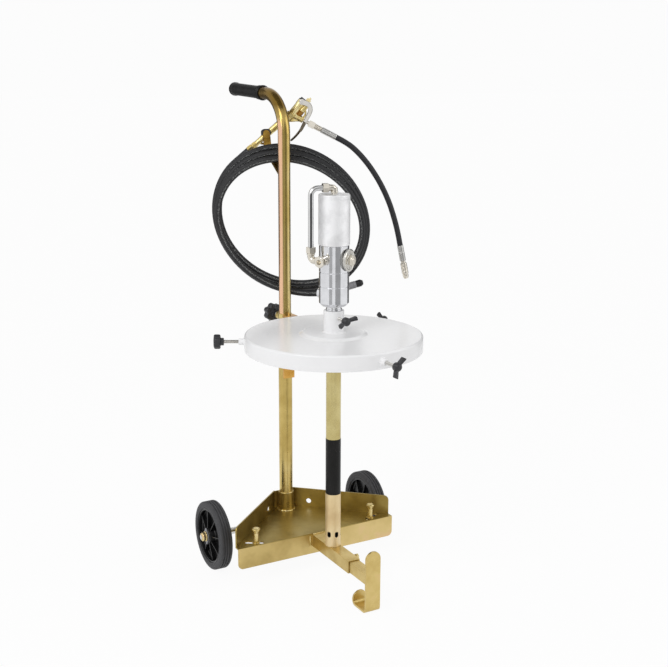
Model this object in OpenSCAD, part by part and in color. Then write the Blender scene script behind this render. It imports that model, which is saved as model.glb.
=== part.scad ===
// Air-operated grease pump on a two-wheel drum trolley. +Z up, front towards -Y, floor at z = 0.

/* [Layout] */
// Pump axis back to the pole axis
pole_back = 241; // [232:1:280]
// Pump axis back to the wheel axle
axle_back = 208; // [195:1:215]
// Pump axis forward to the front face of the foot
foot_reach = 183; // [160:1:240]
// Pump axis back to the end of the grip
grip_reach = 520; // [500:1:600]

/* [Wheels] */
// Wheel radius
wheel_r = 82.5; // [75:0.5:84]
// Distance between the wheel centres
wheel_track = 426; // [420:1:480]
// Tyre width
tyre_w = 32; // [28:1:36]
// Radius where the tyre meets the rim
tyre_seat_r = 66; // [60:1:68]
// Depth of the tread grooves
groove_depth = 2; // [1:0.5:3]
// Width of a tread groove
groove_w = 2.4; // [1.5:0.1:4]
// Rim wall thickness
rim_wall = 5; // [4:0.5:7]
// Hub radius
hub_r = 19; // [16:0.5:22]
// Hub length
hub_len = 40; // [36:1:46]
// Thickness of the rim web
web_t = 5; // [4:0.5:8]
// Spoke rib thickness
rib_t = 3; // [2:0.5:4]
// Number of spoke ribs
rib_n = 8; // [6:1:10]
// Axle diameter
axle_d = 16; // [14:0.5:18]
// Thread diameter at the axle ends
axle_thread_d = 12; // [10:1:12]
// Axle nut width across flats
axle_nut_af = 19; // [18:1:22]
// Axle nut height
axle_nut_h = 10; // [8:1:12]
// Thickness of the nut's flange
washer_t = 2.5; // [2:0.5:3]

/* [Tray] */
// Top of the tray floor above the ground
floor_z = 96; // [94:1:110]
// Sheet thickness
sheet = 3; // [2:0.5:4]
// Tray width at the front
tray_w = 418; // [400:1:440]
// Pump axis back to the front edge of the tray
tray_front = 73; // [66:1:80]
// Depth of the square side edges behind the front
tray_side = 17; // [12:1:24]
// Pump axis back to the rear edge of the tray
tray_rear = 257; // [250:1:262]
// Width of the rear edge
tray_rear_w = 54; // [50:1:64]
// Height of the front flange
front_flange_h = 51.5; // [48:0.5:60]
// Height of the rear flanges above the floor
rear_flange_h = 47.5; // [40:0.5:60]
// Corner radius of the flanges
flange_corner = 12; // [6:1:16]
// Strap hole diameter
strap_hole_d = 13; // [8:1:16]
// Strap hole height above the floor
strap_hole_z = 15; // [12:1:25]
// Strap hole distance from the middle plane
strap_hole_x = 58; // [50:1:70]

/* [Drum stops] */
// Radius of the circle that the pegs stand on
peg_circle_r = 180; // [172:1:190]
// Angle of the pegs from the X axis
peg_angle = 30; // [27:1:33]
// Peg stem diameter
peg_d = 12.5; // [10:0.5:14]
// Peg head diameter
peg_head_d = 20; // [18:1:24]
// Peg head thickness
peg_head_t = 4; // [3:0.5:5]
// Peg height above the floor
peg_h = 36; // [30:1:42]
// Slot length between its end centres
slot_run = 34; // [24:1:40]
// Slot centre outside the circle of the pegs
slot_shift = 4; // [0:0.5:5]
// Peg thread diameter
peg_thread_d = 10; // [8:1:10]
// Peg nut width across flats
peg_nut_af = 17; // [16:1:19]
// Side clearance of the thread in its slot
slot_clear = 0.8; // [0.3:0.1:1]
// Peg nut height
peg_nut_h = 6.5; // [5:0.5:8]

/* [Arm and foot] */
// Outer arm width and height
arm_w = 30; // [28:1:34]
// Arm tube wall
arm_wall = 2; // [1.5:0.5:2]
// Pump axis forward to the end of the outer arm
arm_reach = 99; // [90:1:110]
// Overlap of the outer arm under the tray
arm_tuck = 70; // [50:1:90]
// Sliding clearance between the arm tubes on each side
arm_gap = 0.3; // [0.3:0.1:0.5]
// Inner arm wall
inner_wall = 2; // [2:0.5:3]
// Travel left behind the inner arm
arm_stroke = 60; // [40:5:60]
// Foot strip width
foot_w = 37; // [34:1:44]
// Foot strip thickness
foot_t = 5; // [4:0.5:6]
// Foot strip height
foot_h = 146; // [130:1:160]
// Length of the foot sole
sole_len = 60; // [50:1:70]
// Height of the turned-up heel
heel_h = 31; // [24:1:36]
// Inside bend radius of the foot
foot_bend = 7; // [5:1:10]
// Lock bolt distance behind the arm end
bolt_set = 34; // [16:1:40]
// Lock bolt height above the arm's middle
bolt_up = 4; // [0:0.5:5]
// Lock bolt thread diameter
bolt_d = 8; // [6:1:8]
// Lock bolt head width across flats
bolt_af = 13; // [12:1:14]

/* [Pole] */
// Lower tube diameter
lower_d = 33; // [32:0.5:36]
// Lower tube wall
lower_wall = 1.9; // [1.5:0.1:1.9]
// Top of the lower tube
lower_top = 601; // [560:1:610]
// Socket outside diameter
socket_d = 38.4; // [38:0.2:42]
// Top of the socket above the tray floor
socket_h = 47.5; // [40:0.5:60]
// Radial clearance between the two tubes
tube_gap = 0.1; // [0.05:0.01:0.1]
// Upper tube wall
upper_wall = 2; // [1.5:0.1:2.5]
// Lower end of the upper tube
upper_foot_z = 330; // [300:1:360]
// Bend radius of the handle
bend_r = 90; // [80:1:100]
// Height of the grip axis
grip_z = 1118.5; // [1100:0.5:1140]
// Rise of the grip towards its end
grip_rise = 1.8; // [0:0.1:4]
// Grip length
grip_len = 171; // [150:1:175]
// Grip diameter
grip_d = 32; // [31:0.5:36]
// Grip flange diameter
grip_flange_d = 36; // [35:0.5:42]
// Flange thickness of the grip
grip_flange_t = 4; // [3:0.5:6]
// Height of the clamp knob
knob_z = 590; // [580:1:592]
// Clamp boss diameter
clamp_boss_d = 20; // [18:1:22]
// Clamp boss length behind the tube
clamp_boss_len = 16; // [12:1:20]
// Clamp screw diameter
clamp_screw_d = 10; // [8:1:10]
// Star knob diameter
star_d = 44; // [40:1:50]
// Star knob thickness
star_t = 20; // [16:1:24]
// Star knob neck length
star_neck = 10; // [8:1:14]
// Free screw between the boss and the knob
clamp_screw_free = 12; // [8:1:16]
// Drum hook strip width
hook_w = 28; // [24:1:30]
// Drum hook strip thickness
hook_t = 5; // [4:0.5:6]
// Drum hook length down the pole
hook_len = 158; // [140:1:180]
// Gap between the drum hook and the lid edge
hook_gap = 1.2; // [1:0.1:3]

/* [Drum lid] */
// Lid diameter
lid_d = 400; // [380:1:404]
// Top face of the lid above the ground
lid_z = 601.5; // [598:0.5:604]
// Skirt height
skirt_h = 35.5; // [30:0.5:40]
// Lid sheet thickness
lid_t = 2.5; // [2:0.5:3]
// Edge rounding of the lid
lid_edge_r = 5; // [4:0.5:8]
// Diameter of the raised centre
dish_d = 138; // [120:1:160]
// Height of the raised centre
dish_h = 4.5; // [3:0.5:6]
// Collar diameter
collar_d = 46; // [45:0.5:50]
// Top of the collar above the lid
collar_h = 54; // [46:0.5:55]
// Radial clearance of the collar on the suction tube
collar_gap = 0.1; // [0.05:0.01:0.1]
// Turn of the three clamp screws about the pump axis
lid_turn = 2; // [0:1:4]
// Boss of a lid clamp screw
lid_boss_d = 14; // [13:0.5:18]
// Boss length
lid_boss_len = 13; // [11:1:16]
// Lid clamp screw diameter
lid_screw_d = 8; // [6:1:10]
// Height of the screws above the bottom of the skirt
lid_screw_up = 17; // [15:1:20]
// Lid edge out to the inside of the knobs
lid_knob_out = 46; // [42:1:56]
// Wing knob span
wing_span = 46; // [40:1:50]
// Wing knob hub diameter
wing_hub_d = 19; // [16:1:22]
// Wing knob depth along the screw
wing_depth = 15; // [12:1:20]
// Collar screw height above the lid
collar_screw_z = 38; // [34:1:42]
// Collar out to the inside of the collar knob
collar_knob_out = 26; // [18:1:30]

/* [Suction tube] */
// Suction tube diameter
tube_d = 34; // [32:0.5:34.5]
// Suction tube wall
tube_wall = 3; // [2.5:0.5:4]
// Top of the dark coupling
dark_top = 355; // [340:1:370]
// Bottom of the dark coupling
dark_foot = 222; // [200:1:240]
// Dark coupling diameter
dark_d = 35; // [34.6:0.2:36]
// Inlet tube diameter
inlet_d = 35.8; // [35:0.2:37]
// Inlet slot height
slot_h = 14.5; // [12:0.5:18]
// Inlet slot width
slot_w = 9; // [7:0.5:10]
// Height of the slots above the tube foot
slot_up = 31; // [24:1:60]
// Number of inlet slots
slot_n = 6; // [4:1:6]

/* [Air motor] */
// Gap under the pump body above the lid collar
neck_gap = 10.5; // [6:0.5:12]
// Pump body diameter
body_d = 67; // [66:0.5:69]
// Bottom chamfer of the body
body_chamfer = 7; // [4:0.5:9]
// Height of the lower body
lower_body_h = 44.5; // [42:0.5:50]
// Height of the middle body
middle_h = 32.5; // [30:0.5:36]
// Height of the valve body
valve_h = 60; // [56:0.5:64]
// Width of the seams
seam_w = 2; // [1:0.5:3]
// Depth of the seams
seam_depth = 1.2; // [1:0.1:2]
// Cylinder diameter
cyl_d = 70; // [68:0.5:74]
// Cylinder length
cyl_h = 111; // [100:0.5:120]
// Cylinder wall
cyl_wall = 4; // [3:0.5:5]
// Thickness of the cylinder cap
cap_t = 10; // [8:0.5:12]
// Edge rounding of the cap
cap_round = 3; // [2:0.5:4]
// Piston height
piston_h = 22; // [18:1:24]
// Piston rod diameter
rod_d = 14; // [12:0.5:16]
// Half of the piston stroke
half_stroke = 25; // [15:1:28]
// Clearance of moving inner faces
run_gap = 0.05; // [0.03:0.01:0.1]

/* [Air fittings] */
// Direction of the air inlet from the pump axis
inlet_az = 206; // [190:1:215]
// Direction of the exhaust cover from the pump axis
exhaust_az = 300; // [285:1:310]
// Direction of the grease outlet from the pump axis
outlet_az = 120; // [110:1:130]
// Height of the air ports above the foot of the valve body
port_up = 28; // [24:0.5:32]
// Tee body diameter
tee_d = 20; // [18:0.5:22]
// Tee length from the body
tee_len = 22; // [20:0.5:26]
// Branch of the tee to the transfer pipe
branch_len = 31; // [28:0.5:36]
// Elbow body diameter
elbow_d = 16; // [14:0.5:18]
// Transfer pipe diameter
pipe_d = 12; // [10:0.5:12]
// Bend radius of the transfer pipe
pipe_bend = 16; // [14:0.5:20]
// Height of the transfer pipe above the cap
pipe_up = 14; // [13:0.5:18]
// Pipe nut width across flats
pipe_nut_af = 19; // [17:1:20]
// Pipe nut length
pipe_nut_len = 13; // [11:0.5:15]
// Exhaust cover diameter
exhaust_d = 50; // [46:1:54]
// Exhaust cover thickness
exhaust_t = 6; // [5:0.5:8]
// Gap between the valve body and the exhaust cover
exhaust_lift = 1; // [0.5:0.5:3]
// Exhaust boss diameter
exhaust_boss_d = 30; // [26:1:32]
// Silencer nut width across flats
silencer_af = 22; // [19:1:24]
// Silencer length
silencer_len = 8; // [6:0.5:12]
// Wall radius of the grease outlet thread
outlet_r = 6.6; // [6:0.1:8]
// Wall radius of the air inlet thread
air_port_r = 5.8; // [5:0.1:6.5]

/* [Hose] */
// Supply hose diameter
hose_d = 15.5; // [14:0.1:15.5]
// Turn of the coil plane about the vertical
coil_turn = 28; // [26:1:30]
// Pole axis back to the coil's middle plane
coil_back = 44; // [44:0.5:48]
// Coil centre sideways
coil_u = 36.6; // [30:0.1:40]
// Coil centre height
coil_z = 821; // [815:0.5:830]
// Radius of the first loop
coil_r = 185.5; // [180:0.5:190]
// Width lost per loop
coil_da = 6.2; // [6:0.1:7]
// Height lost per loop
coil_db = 13.2; // [13:0.1:14]
// Shift of each loop towards the pole
coil_dw = 16; // [16:0.1:16.4]
// Back offset of the first loop
coil_w0 = 37.6; // [37:0.1:39]
// Sideways lean of the coil
coil_lean = 26; // [20:0.5:30]
// Ferrule diameter
ferrule_d = 17.5; // [16:0.5:20]
// Ferrule length
ferrule_len = 32; // [28:1:40]
// Protective cap length
hose_cap_len = 17; // [14:1:22]
// Whip hose diameter
whip_d = 13.5; // [12:0.1:14]

/* [Hanger] */
// Hanger strip width
hanger_w = 18; // [16:0.5:24]
// Hanger strip thickness
hanger_t = 5; // [4:0.5:5]
// Slope of the hanger
hanger_slope = 34.5; // [33:0.5:36]
// Pole axis back to the knee of the hanger
hanger_knee = 83; // [82:0.5:86]
// Height of the hanger's upturned end
hanger_rise = 44; // [36:0.5:50]
// Lean of the upturned end
hanger_lean = 10; // [8:0.5:14]
// Drop of the hanger face below the hose centres
hanger_drop = 16; // [14:0.1:17]

/* [Grease gun] */
// Handle length from the hose to the valve body
gun_handle_len = 124; // [110:1:130]
// Handle diameter at the hose
gun_grip_d = 13; // [12:0.5:14]
// Handle diameter at the valve body
gun_neck_d = 17; // [16:0.5:18]
// Swivel nut width across flats
gun_nut_af = 15; // [15:0.5:19]
// Swivel nut length
gun_nut_len = 14; // [12:0.5:16]
// Valve body diameter
gun_body_d = 20; // [18:0.5:24]
// Valve body length
gun_body_len = 54; // [50:1:58]
// Tilt of the valve body against the handle
gun_body_tilt = 9.5; // [8:0.5:14]
// Offset of the valve barrel towards the lever
gun_body_shift = 4.6; // [3:0.1:6]
// Valve cap length
gun_cap_len = 6; // [5:0.5:8]
// Angle of the outlet from the handle
gun_outlet_angle = 67.5; // [62:0.5:70]
// Outlet boss length from the handle axis
gun_outlet_len = 34; // [32:1:38]
// Outlet nipple diameter
nipple_d = 9; // [8:0.5:10]
// Outlet nipple length
nipple_len = 15; // [12:0.5:18]
// Outlet swivel diameter
swivel_d = 14; // [13:0.5:15]
// Outlet swivel length
swivel_len = 34; // [30:0.5:38]
// Whip ferrule diameter
whip_ferrule_d = 15; // [14.5:0.5:17]
// Whip ferrule length
whip_ferrule_len = 40; // [36:1:44]
// Lever rod width
lever_w = 5; // [4:0.5:6]
// Lever fork width outside
lever_fork_w = 32; // [31:0.5:36]
// Lever prong thickness
lever_prong = 3.5; // [3:0.5:3.5]
// Coupler diameter
coupler_d = 16.5; // [15:0.5:18]
// Coupler length
coupler_len = 44; // [38:1:50]

/* [Hidden] */
$fn = 64;
cut = 1;
seat = 0.3;
stud_gap = 0.8;
half = 0.5;
wing_top_share = 1.35;
coil_sides = 6;
coil_rings = 24;
cord_sides = 10;

// Reach of the front wing knob in front of the pump axis
front_reach = (lid_d / 2 + lid_knob_out + wing_depth * wing_top_share) * cos(lid_turn)
              + wing_span * half * sin(lid_turn);
pump_y = (front_reach - grip_reach) / 2;
pole_y = pump_y + pole_back;
axle_y = pump_y + axle_back;
axle_z = wheel_r;
wheel_x = wheel_track / 2;

axle_end_x = wheel_x + hub_len / 2 + seat;
axle_tip_x = axle_end_x + washer_t + axle_nut_h + seat;
ear_x_share = 0.32;
ear_x = tray_w / 2 * ear_x_share;
ear_r = axle_d;

arm_top = floor_z - sheet;
arm_y0 = pump_y - arm_reach;
arm_len = arm_reach + tray_front + arm_tuck;
inner_w = arm_w - 2 * arm_wall - 2 * arm_gap;
foot_y = pump_y - foot_reach;
inner_len = foot_reach - foot_t + tray_front + arm_tuck - arm_stroke;
bolt_y = arm_y0 + bolt_set;
arm_mid_z = arm_top - arm_w / 2;
bolt_z = arm_mid_z + bolt_up;
bolt_nut_h = bolt_d * 0.8;

upper_d = lower_d - 2 * lower_wall - 2 * tube_gap;
bend_z = grip_z - bend_r;
// The wall thins a little in the bend
bend_thin = 0.05;
// The grip rises a little towards its end, so its reach is measured along the tilted tube
grip_run = (pump_y + grip_reach - pole_y - bend_r + (bend_r - grip_flange_d / 2) * sin(grip_rise))
           / cos(grip_rise);

lid_foot = lid_z - skirt_h;
screw_z = lid_foot + lid_screw_up;
lid_angles = [150 + lid_turn, 270 + lid_turn, 30 + lid_turn];
wing_turns = [0, 145, 125];
collar_wing_turn = 120;
collar_top = lid_z + collar_h;
collar_screw_az = 270;

body_z = collar_top + neck_gap;
middle_z = body_z + lower_body_h;
valve_z = middle_z + middle_h;
cyl_z = valve_z + valve_h;
cyl_top = cyl_z + cyl_h;
port_z = valve_z + port_up;
bore_r = cyl_d / 2 - cyl_wall;
tube_r = tube_d / 2;
tube_bore_r = tube_r - tube_wall;
tube_top = body_z + tube_d;
slot_z = arm_top + slot_up;
tee_x = body_d / 2 + tee_len / 2;

// Centre of the transfer pipe seen from the pump axis
pipe_xy = [tee_x * cos(inlet_az) + branch_len * cos(inlet_az - 90),
           tee_x * sin(inlet_az) + branch_len * sin(inlet_az - 90)];
pipe_az = atan2(pipe_xy[1], pipe_xy[0]);
pipe_out = norm(pipe_xy);
pipe_top_z = cyl_top + pipe_up;

// Coil: angle runs on from coil_start, loop count = (angle - coil_start) / 360
coil_start = 131;
coil_end = 295 + 3 * 360;
lead_in = 60;
lead_out = 210;
lead_in_r = -8;
lead_run = 42;
lead_out_r = 44;
lead_in_w = 21.6;
coil_y = pole_y + coil_back;
side = [cos(coil_turn), -sin(coil_turn), 0];
depth = [sin(coil_turn), cos(coil_turn), 0];
up = [0, 0, 1];

function unit(v) = v / norm(v);
function plane_pt(u, z, w) = [0, coil_y, 0] + side * u + depth * w + up * z;
function share_in(a) = max(0, 1 - (a - coil_start) / lead_in);
function share_out(a) = max(0, 1 - (coil_end - a) / lead_out);
function flare(a) = lead_in_r * pow(share_in(a), 2) + lead_out_r * pow(share_out(a), 2);
function ease(s) = s * s * (3 - 2 * s);
function coil_pt(a) =
    let (n = (a - coil_start) / 360)
    let (ru = coil_r - coil_da * n + flare(a))
    let (rz = coil_r - coil_db * n + flare(a))
    plane_pt(coil_u + ru * cos(a) - coil_lean * sin(a),
             coil_z + rz * sin(a),
             coil_w0 - coil_dw * n + lead_in_w * ease(share_in(a)));
coil_steps = round((coil_end - coil_start) / 360 * coil_rings);
function coil_at(i) = coil_pt(coil_start + (coil_end - coil_start) * i / coil_steps);
function flat(v) = unit([v * side, 0, v * up]);
function in_plane(f) = side * f[0] + up * f[2];
tip_step = 0.05;
coil_in_dir = in_plane(flat(coil_at(0) - coil_at(tip_step)));
coil_out_dir = in_plane(flat(coil_at(coil_steps) - coil_at(coil_steps - tip_step)));
coil_pts = concat([coil_at(0) + coil_in_dir * lead_run],
                  [for (i = [0:coil_steps]) coil_at(i)],
                  [coil_at(coil_steps) + coil_out_dir * hose_d]);

// Least distance between points of the coil that are most of a loop apart
function least(v, i = 0, m = 1e9) = i >= len(v) ? m : least(v, i + 1, min(m, v[i]));
loop_gap = least([for (i = [0:len(coil_pts) - 1])
                  for (f = [0:0.25:1])
                  for (j = [i + coil_rings - 6:1:len(coil_pts) - 1])
                  norm(coil_pts[i] * (1 - f) + coil_pts[min(i + 1, len(coil_pts) - 1)] * f
                       - coil_pts[j])]) - hose_d;
echo(coil_least_gap_mm = loop_gap);
hose_length = lead_run + hose_d + coil_arc(0);
function coil_arc(i) = i >= coil_steps ? 0 : norm(coil_at(i + 1) - coil_at(i)) + coil_arc(i + 1);
echo(hose_length_mm = hose_length);

// Gun: local X runs up the handle from the hose, local Y towards the trigger, local Z to the back
gun_origin = coil_pts[0];
gun_tilt = atan2(coil_in_dir * up, coil_in_dir * side);
outlet_root_share = 0.087;
outlet_x = gun_handle_len * (1 + outlet_root_share);
pivot_share = 0.93;
pivot_side_share = 0.2;
pivot = [gun_handle_len + gun_body_len * pivot_share, -gun_body_d * pivot_side_share];
lever_half = lever_fork_w / 2;

// Whip hose from the mouth of its ferrule: forward and down, in the gun's plane
whip_route = [[0, 0], [12, -6], [26, -14], [40, -24], [54, -37], [67, -51], [80, -67], [92, -84],
              [104, -103], [115, -123], [125, -144], [134, -166], [142, -190], [149, -214],
              [155, -239], [160, -264]];

module gold(shade = 0) {
    color(shade > 0 ? "goldenrod" : "darkkhaki") children();
}

module at_pump() {
    translate([0, pump_y, 0]) children();
}

module at_pole() {
    translate([0, pole_y, 0]) children();
}

module ring(outer_r, inner_r, h) {
    difference() {
        cylinder(h = h, r = outer_r);
        translate([0, 0, -cut]) cylinder(h = h + 2 * cut, r = inner_r);
    }
}

module hex(af, h) {
    cylinder(h = h, d = af / cos(30), $fn = 6);
}

module sweep(pts, r, sides) {
    n = len(pts);
    tangents = [for (i = [0:n - 1]) unit(pts[min(i + 1, n - 1)] - pts[max(i - 1, 0)])];
    rings = [for (i = [0:n - 1])
             let (a = unit(cross(tangents[i], depth)))
             let (b = unit(cross(a, tangents[i])))
             for (k = [0:sides - 1]) pts[i] + (a * cos(360 * k / sides) + b * sin(360 * k / sides)) * r];
    walls = [for (i = [0:n - 2]) for (k = [0:sides - 1])
             let (p = i * sides + k)
             let (q = i * sides + (k + 1) % sides)
             for (f = [[p, q, q + sides], [p, q + sides, p + sides]]) f];
    first = [[for (k = [sides - 1:-1:0]) k]];
    last = [[for (k = [0:sides - 1]) (n - 1) * sides + k]];
    polyhedron(points = rings, faces = concat(first, walls, last));
}

module place_along(p, dir) {
    // puts local +Z along dir, which lies in the coil's plane
    translate(p)
        rotate([0, 0, -coil_turn])
        rotate([0, 90 - atan2(dir * up, dir * side), 0])
        children();
}

module in_gun() {
    translate(gun_origin)
        rotate([0, 0, -coil_turn])
        rotate([90, 0, 0])
        rotate([0, 0, gun_tilt])
        mirror([0, 1, 0])
        children();
}

// Tray
tray_outline = [[-tray_w / 2, tray_front], [tray_w / 2, tray_front],
                [tray_w / 2, tray_front + tray_side], [tray_rear_w / 2, tray_rear],
                [-tray_rear_w / 2, tray_rear], [-tray_w / 2, tray_front + tray_side]];

module rounded_flange(w, h, left, right) {
    // a plate w wide and h tall, its far corners rounded
    linear_extrude(sheet)
        union() {
            translate([left, 0]) square([w - left - right, h]);
            square([w, h - flange_corner]);
            if (left > 0) translate([left, h - flange_corner]) circle(r = left);
            if (right > 0) translate([w - right, h - flange_corner]) circle(r = right);
        }
}

module rear_flange() {
    dx = (tray_w - tray_rear_w) / 2;
    dy = tray_rear - tray_front - tray_side;
    run = norm([dx, dy]);
    hole_run = (strap_hole_x - tray_rear_w / 2) * run / dx;
    translate([tray_rear_w / 2, tray_rear, floor_z - sheet])
        rotate([0, 0, atan2(-dy, dx)])
        difference() {
            rotate([90, 0, 0]) rounded_flange(run, rear_flange_h + sheet, 0, flange_corner);
            translate([hole_run, cut, strap_hole_z + sheet]) rotate([90, 0, 0])
                cylinder(h = sheet + 2 * cut, d = strap_hole_d);
        }
}

module peg_slot() {
    rotate([0, 0, peg_angle])
        for (s = [0:1])
            translate([peg_circle_r + slot_shift + (s - half) * slot_run, 0, arm_top - cut])
                cylinder(h = sheet + 2 * cut, d = peg_thread_d + 2 * slot_clear);
    rotate([0, 0, peg_angle])
        translate([peg_circle_r + slot_shift - slot_run / 2, -peg_thread_d / 2 - slot_clear, arm_top - cut])
        cube([slot_run, peg_thread_d + 2 * slot_clear, sheet + 2 * cut]);
}

module tray() {
    gold()
        at_pump()
        difference() {
            union() {
                translate([0, 0, floor_z - sheet]) linear_extrude(sheet) polygon(tray_outline);
                translate([tray_w / 2, tray_front + sheet, floor_z]) rotate([0, 180, 0]) rotate([90, 0, 0])
                    rounded_flange(tray_w, front_flange_h, flange_corner, flange_corner);
                rear_flange();
                mirror([1, 0, 0]) rear_flange();
            }
            peg_slot();
            mirror([1, 0, 0]) peg_slot();
            translate([-arm_w / 2, tray_front - cut, arm_top - arm_w])
                cube([arm_w, sheet + 2 * cut, arm_w]);
        }
}

module pole_socket() {
    gold(1) at_pole() translate([0, 0, floor_z]) ring(socket_d / 2, lower_d / 2, socket_h);
}

module lower_pole() {
    gold(1)
        at_pole()
        difference() {
            union() {
                translate([0, 0, floor_z]) cylinder(h = lower_top - floor_z, d = lower_d);
                translate([0, 0, knob_z]) rotate([-90, 0, 0])
                    cylinder(h = lower_d / 2 + clamp_boss_len, d = clamp_boss_d);
            }
            translate([0, 0, floor_z - cut]) cylinder(h = lower_top, r = lower_d / 2 - lower_wall);
            translate([0, 0, knob_z]) rotate([-90, 0, 0])
                cylinder(h = lower_d + clamp_boss_len, d = clamp_screw_d + 2 * run_gap);
        }
}

module drum_hook() {
    reach = pole_back - lower_d / 2 - lid_d / 2 - hook_gap;
    gold(1)
        at_pole()
        difference() {
            translate([-hook_w / 2, -lower_d / 2 - reach, lower_top - hook_len])
                union() {
                    translate([0, reach - hook_t, 0]) cube([hook_w, hook_t + lower_wall, hook_len]);
                    translate([0, 0, hook_len - hook_t]) cube([hook_w, reach, hook_t]);
                }
            translate([0, 0, floor_z]) cylinder(h = lower_top, d = lower_d);
        }
}

module outer_arm() {
    gold()
        difference() {
            union() {
                translate([-arm_w / 2, arm_y0, arm_top - arm_w]) cube([arm_w, arm_len, arm_w]);
                translate([arm_w / 2, bolt_y, bolt_z]) rotate([0, 90, 0]) hex(bolt_af, bolt_nut_h);
            }
            translate([arm_wall - arm_w / 2, arm_y0 - cut, arm_wall + arm_top - arm_w])
                cube([arm_w - 2 * arm_wall, arm_len + 2 * cut, arm_w - 2 * arm_wall]);
            translate([0, bolt_y, bolt_z]) rotate([0, 90, 0])
                cylinder(h = arm_w, d = bolt_d + 2 * run_gap);
        }
}

module axle() {
    color("silver")
        translate([-axle_tip_x, axle_y, axle_z]) rotate([0, 90, 0]) {
            cylinder(h = 2 * axle_tip_x, d = axle_thread_d);
            translate([0, 0, axle_tip_x - axle_end_x]) cylinder(h = 2 * axle_end_x, d = axle_d);
        }
}

module axle_ear(x) {
    translate([x - web_t / 2, axle_y, axle_z]) rotate([90, 0, 90])
        linear_extrude(web_t)
        difference() {
            union() {
                circle(r = ear_r);
                translate([-ear_r, 0]) square([2 * ear_r, arm_top - axle_z]);
            }
            circle(d = axle_d);
            translate([-ear_r - cut, arm_top - axle_z]) square([2 * ear_r + 2 * cut, ear_r]);
        }
}

module axle_ears() {
    gold() {
        axle_ear(-ear_x);
        axle_ear(ear_x);
    }
}

module axle_nuts() {
    color("darkkhaki")
        for (s = [-1, 1])
            translate([s * axle_end_x, axle_y, axle_z]) rotate([0, s * 90, 0])
                difference() {
                    union() {
                        cylinder(h = washer_t, r = axle_nut_af / 2 + washer_t);
                        hex(axle_nut_af, washer_t + axle_nut_h);
                    }
                    translate([0, 0, -cut]) cylinder(h = axle_nut_h + 3 * cut + washer_t, d = axle_thread_d);
                }
}

// Wheels
module at_wheel(s) {
    translate([s * wheel_x, axle_y, axle_z]) rotate([0, s * 90, 0]) children();
}

module tyre() {
    shoulder = wheel_r - tyre_seat_r;
    color("dimgray")
        rotate_extrude($fn = 96)
        difference() {
            union() {
                translate([tyre_seat_r, -tyre_w / 2]) square([shoulder * half, tyre_w]);
                translate([tyre_seat_r, -tyre_w / 2 + shoulder * half])
                    square([shoulder, tyre_w - shoulder]);
                for (s = [-1, 1])
                    translate([wheel_r - shoulder * half, s * (tyre_w / 2 - shoulder * half)])
                        circle(r = shoulder * half, $fn = 32);
            }
            for (k = [-1:1])
                translate([wheel_r - groove_depth, k * tyre_w / 5 - groove_w / 2])
                    square([groove_depth + cut, groove_w]);
        }
}

module rim() {
    rim_in = tyre_seat_r - rim_wall;
    rib_run = rim_in - hub_r;
    color("black")
        difference() {
            union() {
                translate([0, 0, -tyre_w / 2 + washer_t]) ring(tyre_seat_r, rim_in, tyre_w - 2 * washer_t);
                translate([0, 0, -web_t / 2]) cylinder(h = web_t, r = tyre_seat_r - rim_wall / 2);
                translate([0, 0, -hub_len / 2]) cylinder(h = hub_len, r = hub_r);
                for (k = [0:rib_n - 1])
                    rotate([0, 0, 360 * k / rib_n])
                        translate([hub_r - rib_t, -rib_t / 2, -tyre_w / 2 + 2 * washer_t])
                        cube([rib_run + 1.5 * rib_t, rib_t, tyre_w - 4 * washer_t]);
            }
            translate([0, 0, -hub_len]) cylinder(h = 2 * hub_len, r = axle_d / 2 + run_gap);
        }
}

module left_tyre() { at_wheel(-1) tyre(); }
module left_rim() { at_wheel(-1) rim(); }
module right_tyre() { at_wheel(1) tyre(); }
module right_rim() { at_wheel(1) rim(); }

// Drum stops
module at_peg(s) {
    at_pump() mirror([s < 0 ? 1 : 0, 0, 0]) rotate([0, 0, peg_angle])
        translate([peg_circle_r, 0, 0]) children();
}

module peg() {
    thread = sheet + peg_nut_h + seat;
    gold() {
        translate([0, 0, floor_z]) cylinder(h = peg_h, d = peg_d);
        translate([0, 0, floor_z + peg_h - peg_head_t]) cylinder(h = peg_head_t, d = peg_head_d);
        translate([0, 0, floor_z - thread]) cylinder(h = thread + cut, d = peg_thread_d);
        translate([0, 0, arm_top - peg_nut_h]) hex(peg_nut_af, peg_nut_h);
    }
}

module left_peg() { at_peg(-1) peg(); }
module right_peg() { at_peg(1) peg(); }

// Arm and foot
module inner_arm() {
    gold()
        translate([-inner_w / 2, foot_y + foot_t, arm_mid_z - inner_w / 2])
        difference() {
            cube([inner_w, inner_len, inner_w]);
            translate([inner_wall, -cut, inner_wall])
                cube([inner_w - 2 * inner_wall, inner_len + 2 * cut, inner_w - 2 * inner_wall]);
        }
}

module foot_profile() {
    // side view: x runs back from the front face, y is up
    bend_out = foot_bend + foot_t;
    difference() {
        union() {
            translate([0, bend_out]) square([foot_t, foot_h - bend_out]);
            translate([bend_out, 0]) square([sole_len - 2 * bend_out, foot_t]);
            translate([sole_len - foot_t, bend_out]) square([foot_t, heel_h - bend_out]);
            intersection() {
                for (x = [bend_out, sole_len - bend_out])
                    translate([x, bend_out]) difference() {
                        circle(r = bend_out);
                        circle(r = foot_bend);
                    }
                square([sole_len, bend_out]);
            }
        }
        translate([bend_out, foot_t]) square([sole_len - 2 * bend_out, foot_h]);
    }
}

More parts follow.
